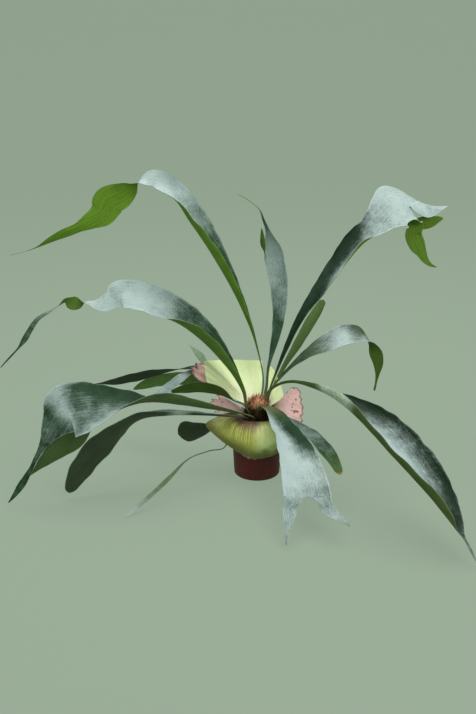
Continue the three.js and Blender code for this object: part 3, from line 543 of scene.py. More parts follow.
def shield(name, node, ribs, finish, slot, waves, torn, pleats, seed):
    """A thin sheet through the ribs. A smooth curve runs through like points of all the ribs, and
    then one from crown to margin. The margin waves up and down, and where it is torn the sheet
    ends at a smaller share of its length, by noise along the margin."""
    ribs = np.array(ribs, float)
    count, points = ribs.shape[:2]
    i = np.arange(count * 1.0)
    s = np.linspace(0, count - 1, (count - 1) * SHEET["across"] + 1)
    flat = ribs.reshape(count, -1)
    curves = on_curve(flat, slopes_of(flat, i), i, s)[0].reshape(len(s), points, 3)
    phase = np.random.default_rng(seed).uniform(0, 2 * np.pi, 6)
    wide = np.r_[0, np.cumsum(np.linalg.norm(np.diff(curves[:, -1], axis=0), axis=1))]
    tear, notch, fray = SHEET["tears"]
    rag = np.abs(np.sin(wide * tear + phase[0]) * np.sin(wide * notch + phase[1]))
    rag += 0.35 * np.abs(np.sin(wide * fray + phase[2])) * rag
    v = np.linspace(0, 1, (points - 1) * SHEET["along"] + 1)
    flat = curves.transpose(1, 0, 2).reshape(points, -1)
    slopes = slopes_of(flat, np.arange(points * 1.0)).reshape(points, len(s), 3)
    t = v[:, None] * (1 - torn * rag) * (points - 1)
    k = np.clip(t.astype(int), 0, points - 2)
    here = np.arange(len(s))
    grid = hermite(curves[here, k], curves[here, k + 1], slopes[k, here], slopes[k + 1, here],
                   (t - k)[..., None])[0].transpose(1, 0, 2)
    face = unit(np.cross(np.gradient(grid, axis=0), np.gradient(grid, axis=1)))
    fan, reach = (s / (count - 1))[:, None], v[None]
    slow, quick = SHEET["waves"]
    wave = np.sin(wide[:, None] * slow + phase[3]) + 0.6 * np.sin(wide[:, None] * quick + phase[4])
    side_margin = np.minimum(fan, 1 - fan)
    pleat = SHEET["pleat"] * np.sin(2 * np.pi * pleats * fan + phase[5])
    pleat = pleat * np.sin(np.pi * np.clip(reach * 1.3, 0, 1))
    lift = waves * wave * reach ** 3 + pleat
    near = np.maximum(np.abs(2 * fan - 1), reach) ** 4
    half = SHEET["half"] + (SHEET["margin"] - SHEET["half"]) * near
    middle = grid + face * lift[..., None]
    pair = np.stack([middle + face * half[..., None], middle - face * half[..., None]], 2)
    number = 2 * np.arange(len(s) * len(v)).reshape(len(s), len(v))
    far = np.linalg.norm(np.diff(middle, axis=1), axis=-1).cumsum(1)
    sheet = np.stack([fan * wide[-1] + 0 * reach, np.pad(far, ((0, 0), (1, 0))),
                      np.maximum(reach + 0 * fan, 1 - 9 * side_margin + 0 * reach)], -1)
    piece(name, pair.reshape(-1, 3), strip(number, (True, True)), finish, slot, [node],
          fields={"sheet": np.repeat(sheet[:, :, None], 2, 2).reshape(-1, 3),
                  "fan": np.repeat((fan + 0 * reach).ravel(), 2)})


def shield_finish(name, inner, middle, outer, dark, blotch, rough, dry=0.0):
    """Colours from crown to margin, broken by streaks that run along the ribs and by blotches.
    A dry sheet also has a net of fine veins and a brown, brittle edge."""
    finish = Finish(name, Specular_IOR_Level=0.45 - 0.2 * dry)
    at, sheet = finish.place(), finish.field("sheet", "Vector")
    across, reach = (finish.part(sheet, axis) for axis in "XZ")
    broad = finish.noise(at, 26, 3)
    streak = finish.noise(sheet, 0.9, 4, 0.6, stretch=(1, 0.07, 0))
    net = finish.node("TexVoronoi", {"feature": "DISTANCE_TO_EDGE"}, {"Vector": at, "Scale": 260.0})
    depth = reach + (broad - 0.5) * 0.5
    colour = finish.mix(depth.step(0.05, 0.45), inner, middle)
    colour = finish.mix(depth.step(0.55, 1.0), colour, outer)
    colour = finish.mix((streak.step(0.42, 0.68) * 0.5 + broad.step(0.5, 0.75) * blotch).clip(),
                        colour, dark)
    if dry:
        vein = 1 - net.step(0.0, 0.09)
        colour = finish.mix(vein * 0.35 * dry, colour, dark)
        edge = (reach + (streak - 0.5) * 0.1).step(0.93, 1.0)
        colour = finish.mix(edge * 0.8, colour, (0.055, 0.024, 0.014))
        spot = finish.noise(at, 95, 3, 0.6).step(0.60, 0.66) * reach.step(0.35, 0.8)
        colour = finish.mix(spot * 0.9, colour, (0.035, 0.018, 0.010))
    rib = (across * 2.4 + (broad - 0.5) * 3).sine()
    height = rib * 0.3 + streak * 0.7 + net * (0.6 + dry)
    return finish.done(colour, rough + streak * 0.12, height, 0.30 + 0.15 * dry)


def fresh_shield():
    """A living shield: brown where it clasps the crown, deepened there with painted shade, then
    yellow-green with pale ribs that fan out, a near-white painted highlight on its right side, and
    olive towards its lower margin."""
    finish = Finish("shield_fresh", Specular_IOR_Level=0.42)
    at, sheet, fan = finish.place(), finish.field("sheet", "Vector"), finish.field("fan")
    reach = finish.part(sheet, "Z")
    broad = finish.noise(at, 30, 4)
    rib = finish.noise(sheet, 0.75, 2, 0.5, stretch=(1, 0.015, 0))
    fine = finish.noise(sheet, 1.6, 4, 0.6, stretch=(1, 0.08, 0))
    depth = reach + (broad - 0.5) * 0.35
    green = finish.mix(fine.step(0.35, 0.65), (0.26, 0.27, 0.035), (0.44, 0.46, 0.085))
    raised = rib.step(0.50, 0.66) * (1 - depth.step(0.6, 0.95))
    green = finish.mix(raised * 0.6, green, (0.70, 0.74, 0.27))
    # Painted highlight: a near-white patch on the right of the shield, where the light falls on it.
    painted_highlight = fan.step(0.52, 0.66) * (1 - fan.step(0.92, 1.0)) * depth.step(0.24, 0.44)
    green = finish.mix(painted_highlight * (1 - depth.step(0.70, 0.92)) * 0.95, green, (0.92, 1.0, 0.46))
    green = finish.mix((1 - fan.step(0.05, 0.3)) * 0.6, green, (0.50, 0.54, 0.28))
    olive = finish.mix(fine, (0.085, 0.095, 0.014), (0.20, 0.20, 0.045))
    colour = finish.mix((reach + (broad - 0.5) * 0.3).step(0.66, 0.96), green, olive)
    # Painted shade: near the crown the shield goes brown-black, partly its own brown base and
    # partly shade painted where the crown and stalks hang over it; less of it on the right, under
    # the painted highlight.
    brown = finish.mix(fine, (0.020, 0.013, 0.004), (0.16, 0.085, 0.040))
    shade = 1 - (depth + (rib - 0.5) * 0.3).step(0.34, 0.64)
    colour = finish.mix(shade * (1 - fan.step(0.55, 0.72) * 0.9), colour, brown)
    return finish.done(colour, 0.36 + fine * 0.15, rib * 1.2 + fine * 0.5, 0.6)


FRESH = fresh_shield()
PALE = shield_finish("shield_pale", (0.90, 0.90, 0.66), (0.88, 0.97, 0.56), (0.84, 0.95, 0.52),
                     (0.60, 0.80, 0.28), 0.45, 0.42)
DRY = shield_finish("shield_dry", (0.66, 0.42, 0.28), (0.76, 0.50, 0.50), (0.76, 0.48, 0.44),
                    (0.46, 0.24, 0.19), 0.3, 0.6, dry=1.0)

shield("bib_shield", "shield_front", [
    wrapped(-180, (24, 120), (46, 129), (66, 128), (82, 120), (97, 112)),
    wrapped(-168, (24, 118), (44, 128), (66, 128), (87, 117), (103, 107)),
    wrapped(-147, (24, 116), (42, 126), (63, 121), (75, 100), (77, 81)),
    wrapped(-120, (24, 115), (42, 126), (63, 118), (71, 89), (60, 62)),
    wrapped(-93, (25, 115), (42, 126), (63, 117), (70, 84), (57, 55)),
    wrapped(-66, (25, 115), (42, 126), (63, 119), (70, 86), (58, 57)),
    wrapped(-38, (25, 117), (42, 127), (62, 122), (71, 92), (61, 66)),
    wrapped(-12, (26, 120), (44, 130), (62, 127), (73, 106), (72, 87)),
], FRESH, "shield_green", waves=0.5, torn=0.0, pleats=26, seed=21)
shield("old_front_shield", "old_shield_front", [
    wrapped(-140, (31, 104.5), (42, 100.5), (54, 98.2), (61, 90), (60, 80), (57, 68)),
    wrapped(-122, (26, 106.5), (40, 100.8), (54, 98.2), (60.5, 90), (59, 76), (54.5, 56)),
    wrapped(-105, (24, 108), (40, 100.8), (54, 98.2), (60, 90), (58, 74), (53.5, 49.5)),
    wrapped(-88, (24, 108), (40, 100.8), (54, 98.2), (60.5, 90), (59, 76), (54, 52)),
    wrapped(-65, (24, 109), (40, 101), (54, 98.2), (61, 90), (60, 80), (56, 66)),
], DRY, "shield_dry", waves=0.2, torn=0.02, pleats=18, seed=22)
shield("rear_shield", "shield_rear", [
    [(-19, 4, 141), (-42, 8, 155), (-60, 10, 163), (-77, 10, 171)],
    [(-17, 7, 142), (-52, 14, 164), (-77, 18, 177), (-101, 19, 190)],
    [(-16, 9, 143), (-53, 19, 173), (-80, 25, 197), (-105, 29, 217)],
    [(-15, 10, 143), (-52, 21, 177), (-78, 27, 203), (-106, 31, 228)],
    [(-14, 10, 143), (-47, 22, 178), (-71, 28, 204), (-95, 33, 229)],
    [(-12, 12, 143), (-34, 26, 179), (-49, 34, 203), (-64, 40, 228)],
    [(-6, 13, 143), (-14, 28, 178), (-18, 36, 202), (-24, 42, 227)],
    [(5, 13, 143), (9, 27, 177), (11, 36, 200), (10, 41, 226)],
], PALE, "shield_pale", waves=0.6, torn=0.0, pleats=22, seed=23)
shield("right_shield", "shield_right", [
    [(23, -13, 146), (33, -18, 155), (41, -20, 161), (48, -20, 169)],
    [(20, -7, 147), (32, -13, 160), (42, -15, 170), (50, -14, 180)],
    [(13, 15, 139), (21, 27, 170), (28, 38, 188), (34, 47, 205)],
    [(9, 16, 140), (16, 31, 173), (20, 42, 191), (23, 51, 211)],
], PALE, "shield_pale", waves=0.5, torn=0.02, pleats=12, seed=24)
shield("old_right_shield", "old_shield_right", [
    [(22, -9, 128), (39, -18, 134), (64, -28, 129), (88, -36, 116)],
    [(23, -6, 131), (41, -8, 143), (67, -12, 142), (92, -16, 140)],
    [(23, -2, 134), (41, 2, 156), (65, 4, 163), (87, 6, 172)],
    [(21, 2, 137), (40, 4, 156), (58, 12, 168), (73, 22, 178)],
], DRY, "shield_dry", waves=0.8, torn=0.05, pleats=12, seed=25)
shield("old_left_shield", "old_shield_left", [
    [(-20, -4, 125), (-44, -9, 133), (-68, -15, 136), (-88, -18, 138)],
    [(-20, -1, 129), (-48, -3, 141), (-74, -6, 149), (-96, -8, 155)],
    [(-20, 2, 132), (-46, 4, 148), (-66, 6, 160), (-82, 8, 172)],
], DRY, "shield_dry", waves=1.6, torn=0.20, pleats=8, seed=26)
shield("old_rear_shield", "old_shield_rear", [
    [(-16, 9, 133), (-50, 17, 158), (-88, 22, 175), (-126, 25, 194)],
    [(-14, 11, 134), (-50, 23, 171), (-87, 31, 198), (-133, 35, 221)],
    [(-11, 12, 136), (-36, 28, 175), (-60, 38, 198), (-98, 42, 219)],
    [(-6, 14, 138), (-15, 30, 172), (-22, 41, 194), (-40, 47, 212)],
], DRY, "shield_dry", waves=0.7, torn=0.04, pleats=14, seed=27)
shield("old_back_shield", "old_shield_back", [
    wrapped(172, (24, 108), (42, 109), (57, 103), (63, 92), (64, 84)),
    wrapped(150, (24, 109), (42, 110), (58, 105), (64, 90), (61, 76)),
    wrapped(122, (24, 109), (43, 111), (59, 105), (63, 86), (58, 66)),
    wrapped(90, (23, 110), (43, 112), (59, 106), (64, 86), (58, 61)),
    wrapped(60, (23, 110), (43, 112), (60, 107), (65, 90), (61, 70)),
    wrapped(32, (24, 111), (43, 113), (60, 109), (67, 95), (66, 80)),
    wrapped(8, (25, 111), (43, 113), (59, 110), (68, 100), (71, 90)),
], DRY, "shield_dry", waves=0.7, torn=0.07, pleats=22, seed=28)


# ---------------------------------------------------------------- the long fronds
# The long fronds are leathery straps that stand in the crown, widen, fork and hang. Above they
# are dark green under mealy silver felt, with a painted reflection of the overhead light on it;
# below they are plain green, and old tips dry up brown.
BLADE = {
    "half": 0.5, "margin": 0.3, "stalk": 2.0,  # half thicknesses in mm
    "stalk_length": 90, "tip": 0.7, "step": 3.0, "columns": 24,
    "ruffle": 1.0, "ripples": ((8.3, 14.1), (9.1, 12.7)),  # its height, and its waves on each side
    "nibble": 0.012, "nibbles": (7.1, 11.3, 4.7),  # the margin's unevenness, and its waves
    "still": 40, "stir": 60,  # the mm of stalk without a ruffle, and those in which it grows
    "calm": 28, "fork": 25, "fade": 30,  # the mm in which margin, fork and felt settle
    "blunt": 16,  # the most mm that a rounded end takes
    "tender": (0.085, 0.150, 0.040),  # the light green of a young end
}
# How a frond looks where it says nothing else: its colours above and below without the felt,
# the stretch in mm along it where the underside shows painted sheen over its meal, the length of
# its brown tip and of its light green end, and the radius of its forks as a share of the half
# width there. The low and back fronds get darker colours, as painted shade.
PLAIN = dict(above=(0.0085, 0.032, 0.011), below=(0.085, 0.170, 0.016), bloom=(0, -60), dry=0,
             tender=1, sinus=0.2)
# Each frond has a heading in degrees from +X, a socket in the crown, and rows of reach, drift to
# the left, rise, half width, roll, cup, felt and lean, in mm and degrees from the socket. Felt is
# the share of silver, where 1 is full: the real mealy felt together with a painted reflection of
# the overhead light, brightest where the blade faces up or cups towards the light and dark green
# where it turns away. Lean, 0 where a row leaves it out, is how much more of it the left margin
# has. A tucked lobe starts so many mm along the blade that it lies behind.
FRONDS = {
    "frond_top_left": dict(
        heading=186, socket=(5, 2, 152),
        look=dict(above=(0.022, 0.062, 0.024), below=(0.115, 0.235, 0.013)),
        rows=[
            (0, 0, 0, 3.2, 0, 10, .05), (-5, 1, 23, 3.4, 0, 30, .05), (9, 1, 120, 7, -4, 55, .05),
            (38, 1, 197, 20, -5, 68, .12), (90, 1, 297, 38, -9, 72, .25),
            (131, 1, 365, 41, -20, 66, .62), (168, 1, 422, 29, -32, 44, 1),
            (201, 1, 447, 16, -62, 10, 1.08), (217, 1, 443, 12, -40, 5, 1.08),
            (228, 1, 439, 9, 5, 0, 1), (242, 1, 428, 17, 66, -5, .9), (258, 1, 418, 24, 85, -8, .9),
            (282, 1, 405, 29, 93, 0, .9), (296, 1, 384, 25, 95, 0, .9),
            (319, 1, 370, 16, 93, 5, .8), (344, 1, 357, 9.5, 80, 10, .8),
            (372, 1, 346, 9, 72, 10, .8), (394, 1, 336, 6.5, 60, 10, .7),
            (417, 1, 324, 2.5, 40, 5, .6), (469, 1, 309, .8, 20, 0, .5),
        ],
    ),
    "frond_left_arch": dict(
        heading=197, socket=(-9, -14, 131),
        look=dict(above=(0.022, 0.060, 0.024), below=(0.110, 0.200, 0.024)),
        rows=[
            (0, 0, 0, 3.2, 0, 10, .03), (12, 5, 11, 4, 0, 30, .03), (23, 5, 51, 11, -4, 60, .03),
            (41, 5, 86, 21, -10, 74, .03), (68, 5, 124, 34, -13, 80, .08),
            (105, 5, 167, 46, -15, 82, .18), (144, 5, 203, 49, -19, 74, .46),
            (184, 5, 233, 44, -33, 50, .88), (218, 5, 256, 33.5, -47, 26, 1.06),
            (247, 5, 266, 29, -50, 12, 1), (262, 5, 265, 27, -52, 5, .85),
            (273, 5, 258, 18, -54, 0, 1.05), (290, 5, 251, 15, -55, 0, 1.05),
            (305, 5, 251, 9.5, -50, 0, 1), (320, 5, 256, 6, -12, 0, .9),
            (332, 5, 255, 10, 70, -5, .8), (346, 5, 258, 13, 88, -5, .8),
            (357, 5, 263, 7, 60, 0, .6), (371, 5, 254, 2.6, 20, 0, .4),
            (390, 5, 243, 2.8, -40, 10, .4), (408, 5, 233, 4, -55, 15, .35),
            (424, 5, 213, 5, -75, 20, .3), (435, 5, 196, 5, -80, 20, .25),
            (446, 5, 182, 1.8, -75, 10, .2), (464, 5, 164, 1.6, -70, 10, .2),
            (481, 5, 147, .8, -60, 0, .2),
        ],
    ),
    "frond_upright": dict(
        heading=100, socket=(12, 8, 150),
        look=dict(above=(0.022, 0.060, 0.028), sinus=0.01),
        rows=[
            (0, 0, 0, 3.2, 0, 10, .05), (5, -7, 27, 2.8, 0, 30, .05),
            (16, -13, 65, 2.8, 0, 25, .05), (25, -20, 87, 4.5, 5, 28, .08),
            (31, -26, 108, 7.5, 8, 30, .1, .1), (40, -34, 137, 11, 10, 30, .2, .15),
            (48, -40, 182, 16.5, 15, 25, .48, -.2), (54, -39, 234, 20, 10, 15, .76, .1),
            (55, -32, 272, 19.5, 0, 10, .92, .1),
        ],
        left=dict(rows=[
            (54, -15, 285, 9, 40, 10, .6), (52, -10, 294, 9, 85, 10, .5),
            (49, -7, 309, 7, 125, 5, .4), (46, -5, 327, 4.5, 140, 0, .4),
            (44, -3, 343, .8, 140, 0, .4),
        ]),
        right=dict(rows=[
            (52, -27, 305, 15, -22, 10, 1, .2), (46, -16, 337, 6.5, -48, 0, .75),
            (40, -6, 360, 4, -60, 0, .5), (35, 3, 381, 3, -75, 10, .5),
            (32, 19, 395, 2.2, -80, 10, .3), (28, 33, 405, 1.6, -80, 10, .4),
            (25, 47, 412, .8, -80, 0, .5),
        ]),
    ),
    "frond_top_right": dict(
        heading=22, socket=(17, 3, 151),
        look=dict(above=(0.005, 0.021, 0.008), below=(0.125, 0.230, 0.020), sinus=0.05),
        rows=[
            (0, 0, 0, 3.2, 10, 10, .1), (11, 4, 25, 3, 10, 30, .1), (26, 4, 61, 4.5, 5, 40, .08),
            (48, 4, 107, 9.5, 5, 50, .06), (77, 4, 161, 14.5, 6, 50, .06),
            (119, 4, 213, 23.5, 8, 46, .15, -.45), (164, 4, 268, 31, 4, 48, .5, -1),
            (202, 4, 308, 33, 14, 72, .5, -.9), (227, 4, 331, 30, 30, 40, .6, -.3),
            (251, 4, 354, 36, 42, 8, .85), (265, 4, 366, 45, 47, 2, .9),
            (276, 4, 373, 52, 49, 0, .97), (287, 4, 375, 46, 47, 0, 1), (301, 4, 374, 39, 44, 0, 1),
            (315, 4, 370, 32, 41, 0, 1),
        ],
        left=dict(rows=[
            (330, 9, 371, 21, 41, 3, 1), (345, 5, 363, 20, 40, 2, .95),
            (364, 4, 361, 13.5, 38, 0, .9), (384, 4, 364, 6.5, 34, 0, .9),
            (402, 4, 367, .8, 30, 0, .85),
        ]),
        right=dict(rows=[
            (325, 4, 341, 17, -42, 0, .9),
        ], left=dict(rows=[
            (350, 4, 337, 15, -76, 0, .8), (368, 4, 338, 12, -80, 0, .8),
            (384, 4, 342, 6, -80, 0, .8), (393, 4, 343, .8, -80, 0, .8),
        ]), right=dict(rows=[
            (324, 4, 316, 18, -80, 0, .8), (334, 4, 294, 17, -82, 0, .8),
            (345, 4, 277, 12, -84, 0, .8), (355, 4, 261, 7.5, -85, 0, .8),
            (368, 4, 249, 4, -85, 0, .8), (385, 4, 242, .8, -85, 0, .8),
        ])),
    ),
    "frond_right_short": dict(
        heading=50, socket=(20, 11, 144),
        look=dict(below=(0.041, 0.086, 0.008)),
        rows=[
            (0, 0, 0, 3.2, -150, 10, .2), (11, -6, 32, 3, -150, 20, .2),
            (45, -6, 68, 4.5, -150, 10, .2), (86, -6, 102, 8.5, -150, 10, .2),
            (128, -6, 139, 11, -150, 10, .2), (160, -6, 165, 9.8, -150, 10, .2),
            (179, -6, 181, 7, -150, 5, .2),
        ],
    ),
    "frond_right_mid": dict(
        heading=-8, socket=(21, -7, 145),
        look=dict(above=(0.034, 0.058, 0.026), below=(0.062, 0.110, 0.012)),
        rows=[
            (0, 0, 0, 3.2, 20, 10, .1), (4, 0, 30, 3, 20, 30, .1), (22, 0, 59, 4.5, 25, 30, .08),
            (47, 0, 87, 6.5, 30, 40, .12), (79, 0, 114, 13.5, 36, 38, .14),
            (116, 0, 138, 21.5, 42, 22, .62), (150, 0, 156, 23.5, 41, 5, .85, -.25),
            (174, 0, 159, 20, 30, -10, .3, -.5), (190, 0, 151, 14.5, 5, -20, .4, -.3),
            (200, 0, 140, 11, -40, -10, .4), (207, 0, 124, 13, -75, 0, .4),
            (213, 0, 102, 10.5, -80, 0, .4), (213, 0, 81, 4.5, -85, 0, .4),
            (211, 0, 63, 2.2, -85, 0, .4), (208, 0, 44, 2.4, -85, 0, .5),
        ],
    ),
    "frond_right_long": dict(
        heading=-48, socket=(13, -9, 147),
        look=dict(above=(0.0035, 0.017, 0.0052), below=(0.080, 0.125, 0.030), bloom=(172, 258)),
        rows=[
            (0, 0, 0, 3.2, 0, 10, .1), (3, 2, 20, 3, 0, 40, .1), (34, 2, 51, 5, -20, 50, .1),
            (75, 2, 69, 7, -30, 60, .1), (125, 2, 73, 13, -32, 74, .15),
            (179, 2, 68, 24, -30, 84, .2, -.2), (229, 2, 54, 40, -18, 84, .5, -.9),
            (284, 2, 33, 52, -8, 75, 1, -1), (342, 2, 2, 55, -5, 74, 1.1, -1.05),
            (395, 2, -32, 52, -12, 74, .97, -1), (438, 2, -65, 41, -24, 72, .46, -.4),
            (468, 2, -87, 23, -24, 56, .2), (483, 2, -97, 6, -14, 40, .3),
            (500, 2, -115, 4, -10, 20, .5), (515, 2, -133, .8, 0, 0, .6),
        ],
    ),
    "frond_front": dict(
        heading=-78, socket=(4, -21, 140),
        rows=[
            (0, 0, 0, 3.2, -10, 10, .12, -.2), (10, 3, 12, 8, -10, 30, .12, -.2),
            (35, 16, 12, 17, -13, 32, .2, -.5), (81, 23, 0, 25, -10, 30, .42, -.9),
            (138, 30, -14, 32.5, -6, 22, .72, -1), (195, 32, -36, 39, 0, 12, 1.02, -.4),
            (252, 29, -68, 43.5, 0, 5, .74, -.2),
        ],
        left=dict(rows=[
            (276, 55, -77, 15, 0, 0, .6), (293, 68, -88, 9, 0, 0, .78),
            (302, 80, -95, 4.8, 0, 0, .85), (311, 90, -103, .8, 0, 0, .6),
        ]),
        right=dict(rows=[
            (267, -7, -85, 13, 0, 0, .8), (281, -13, -96, 8.5, 0, 0, .85),
            (294, -19, -113, 4.2, 0, 0, .75), (307, -24, -130, .8, 0, 0, .6),
        ]),
    ),
    "frond_front_right": dict(
        heading=-35, socket=(18, -15, 134),
        look=dict(above=(0.022, 0.058, 0.024), dry=9, tender=70),
        rows=[
            (0, 0, 0, 3.2, 0, 10, .3), (4, -8, 12, 4, 0, 20, .3), (41, -11, 6, 8, 0, 20, .4),
            (91, -21, -3, 18, 0, 10, .42), (136, -33, -13, 20, 0, 10, .38),
            (171, -45, -32, 19, 0, 10, .22), (191, -53, -47, 14, 0, 10, .12),
            (202, -58, -58, 9, 0, 10, .05),
        ],
    ),
    "frond_left_broad": dict(
        heading=203, socket=(-4, -22, 126),
        look=dict(above=(0.015, 0.047, 0.018), below=(0.074, 0.120, 0.036)),
        rows=[
            (0, 0, 0, 3.2, 0, 10, .1), (13, 5, 9, 4, 0, 30, .1), (40, 5, 19, 7.5, 20, 30, .15),
            (88, 6, 35, 11, 38, 40, .2), (141, 9, 53, 16.5, 45, 46, .25),
            (191, 9, 66, 25.5, 36, 50, .3), (237, 8, 71, 36, 12, 50, .25, .3),
            (285, 1, 70, 43, -15, 40, .42, .75), (316, -6, 70, 44, -40, 22, .4, .45),
            (335, -12, 69, 49, -49, 10, .42, .45), (353, -17, 67, 52, -53, 4, .36, .25),
            (373, -23, 62, 51, -54, 2, .86, .05), (389, -27, 44, 33, -56, 0, .32, .1),
            (402, -32, 23, 19, -60, 0, .42), (413, -36, 2, 9.5, -70, 0, .35),
            (422, -40, -15, 5.5, -80, 0, .3), (430, -44, -31, 4.5, -85, 0, .3),
            (439, -46, -49, 4, -85, 0, .3), (449, -48, -66, 6, -85, 0, .25),
            (460, -51, -84, 7, -80, 0, .2), (473, -53, -102, 4, -80, 0, .2),
            (485, -56, -117, .8, -80, 0, .3),
        ],
        tucked=dict(start=330, rows=[
            (335, 5, 47, 5, 64, 0, .3), (343, -7, 26, 12, 78, 0, .3), (359, -21, 8, 22, 84, 0, .3),
            (379, -32, -7, 24, 86, 0, .3), (399, -41, -25, 18, 88, 0, .3),
            (417, -51, -45, 10.5, 88, 0, .3), (430, -58, -60, 4.5, 85, 0, .3),
            (440, -62, -71, .8, 80, 0, .3),
        ]),
    ),
    "frond_left_low": dict(
        heading=195, socket=(-14, -18, 121),
        # Painted shade: this frond hangs low under the others, so its underside colour is darkened.
        look=dict(below=(0.044, 0.066, 0.034), bloom=(120, 150)),
        rows=[
            (0, 0, 0, 3.2, 0, 10, .2), (10, 4, 7, 4, 0, 30, .2), (51, 3, 14, 9, 15, 40, .3),
            (110, -2, 21, 15, 14, 50, .45), (169, -2, 26, 22, 14, 55, .45),
            (219, 0, 24, 28, 28, 46, .3), (259, 5, 6, 31, 50, 20, .2),
            (301, 6, -22, 32.5, 65, 5, .15), (333, 8, -55, 28, 70, 0, .15),
            (354, 11, -87, 19, 70, 0, .15), (364, 10, -109, 10, 70, 0, .15),
        ],
    ),
    "frond_left_back_forked": dict(
        heading=156, socket=(-1, 19, 135),
        # Painted shade: this frond lies at the back, under the shields and other fronds, so both
        # its colours are darkened.
        look=dict(above=(0.005, 0.018, 0.006), below=(0.018, 0.036, 0.012), sinus=0.05),
        rows=[
            (0, 0, 0, 3.2, 0, 10, .1), (12, -13, 17, 3.4, 0, 30, .1), (47, -13, 40, 6, -10, 20, .1),
            (83, -13, 54, 8, -20, 20, .1), (119, -13, 58, 10, -25, 10, .1),
            (147, -13, 55, 13, -25, 5, .2, .2),
        ],
        left=dict(rows=[
            (161, 14, 45, 10.5, -50, 0, .75), (180, 31, 29, 11, -55, 0, .8),
            (199, 48, 12, 10, -55, 0, .75), (217, 63, -1, 4, -55, 0, .7),
        ]),
        right=dict(rows=[
            (189, -13, 50, 8.5, 20, 0, 0), (239, -13, 36, 12, 46, 0, 0),
            (300, -13, 14, 14, 50, 0, 0), (351, -13, -3, 10, 44, 0, 0),
            (392, -13, -12, .8, 30, 0, .1),
        ]),
    ),
    "frond_left_back_green": dict(
        heading=145, socket=(-11, 16, 129),
        look=dict(below=(0.100, 0.195, 0.038)),
        rows=[
            (0, 0, 0, 3.2, 0, 10, .1), (13, -3, 14, 3.4, 0, 30, .1), (51, -3, 27, 8, 40, 10, .1),
            (96, -3, 40, 13, 70, 0, .1), (143, -3, 38, 15, 75, 0, .1), (197, -3, 27, 15, 75, 0, .1),
            (255, -3, 9, 13, 75, 0, .1), (295, -3, -10, 8, 75, 0, .1),
            (317, -3, -22, 1.5, 75, 0, .1),
        ],
    ),
    "frond_left_back_olive": dict(
        heading=178, socket=(-17, -3, 131),
        look=dict(below=(0.060, 0.110, 0.014)),
        rows=[
            (0, 0, 0, 3.2, 0, 10, .1), (9, 1, 17, 3.4, 0, 30, .1), (29, 1, 25, 8, 20, 10, .1),
            (57, 1, 45, 12, 60, 0, .1), (91, 1, 53, 13, 72, 0, .1), (125, 1, 50, 11, 72, 0, .1),
            (155, 1, 42, 4, 62, 0, .1),
        ],
    ),
    "frond_left_under_small": dict(
        heading=190, socket=(-14, -7, 110),
        # Painted shade: this small frond lies under the others, so its underside colour is
        # darkened.
        look=dict(below=(0.030, 0.048, 0.022)),
        rows=[
            (0, 0, 0, 3.2, 0, 10, .1), (16, -4, 0, 3.4, 0, 30, .1), (44, -10, 2, 7, 10, 20, .1),
            (72, -20, -12, 17, 40, 20, .15), (104, -27, -22, 29, 60, 20, .15),
            (130, -34, -27, 31, 62, 10, .1), (141, -38, -29, 22, 60, 0, .1),
        ],
    ),
    "frond_left_thin": dict(
        heading=218, socket=(-13, -14, 109),
        look=dict(above=(0.095, 0.125, 0.060), below=(0.075, 0.110, 0.030)),
        rows=[
            (0, 0, 0, 3.2, 0, 10, .2), (18, -6, 4, 2.4, 0, 30, .2), (39, -11, -5, 1.8, -10, 20, .2),
            (46, -12, -16, 1.6, -10, 20, .2), (54, -13, -36, 1.2, -20, 20, 0),
            (97, -10, -34, 1.2, -30, 20, 0), (154, -3, -35, 1.3, -40, 20, 0),
            (196, 0, -58, 3.8, -45, 20, .1), (236, 4, -77, 4.2, -45, 20, .3),
            (273, 5, -94, 3.8, -45, 10, .7), (302, 5, -107, 1, -45, 0, 1),
        ],
    ),
    "frond_young": dict(
        heading=150, socket=(-9, 18, 135),
        look=dict(above=(0.330, 0.440, 0.310), below=(0.340, 0.460, 0.300)),
        rows=[
            (0, 0, 0, 3.2, 0, 10, .5), (12, -4, 18, 2.6, 0, 20, .5), (35, 2, 35, 3.4, 0, 20, .5),
            (67, 8, 53, 4.5, -20, 20, .5), (93, 19, 75, 5.5, -40, 10, .3),
            (110, 24, 99, 7, -50, 10, .2), (128, 32, 119, .8, -50, 0, .2),
        ],
    ),
}


def smooth(x):
    """A smooth step, 3 x^2 - 2 x^3, that is 0 below 0 and 1 above 1."""
    x = np.clip(x, 0, 1)
    return x * x * (3 - 2 * x)


def sections(rows, heading, first_slope=None):
    """Cross-sections every few mm along rows of x, y, z, half width, roll, cup, felt and lean.
    The level line across the heading, less its part along the curve, gives the way across, and
    the roll turns that about the curve. The half width is held to at least the tip's."""
    rows = np.array(rows, float)
    knots = np.r_[0, np.cumsum(np.linalg.norm(np.diff(rows[:, :3], axis=0), axis=1))]
    slopes = slopes_of(rows, knots)
    if first_slope is not None:
        slopes[0, :3] = first_slope
    t = np.linspace(0, knots[-1], int(knots[-1] / BLADE["step"]) + 2)
    value, slope = on_curve(rows, slopes, knots, t)
    turn = math.radians(heading)
    level = np.array((-math.sin(turn), math.cos(turn), 0))
    along = unit(slope[:, :3])
    flat = unit(level - along * (along @ level)[:, None])
    upper = np.cross(along, flat)
    roll = np.radians(value[:, 4:5])
    across = flat * np.cos(roll) + upper * np.sin(roll)
    cup = np.radians(np.where(np.abs(value[:, 5]) < 0.1, 0.1, value[:, 5]))
    return {"at": value[:, :3], "along": along, "across": across, "normal": np.cross(along, across),
            "half": np.maximum(value[:, 3], BLADE["tip"]), "roll": value[:, 4], "cup": cup,
            "felt": value[:, 6], "lean": value[:, 7], "distance": t}


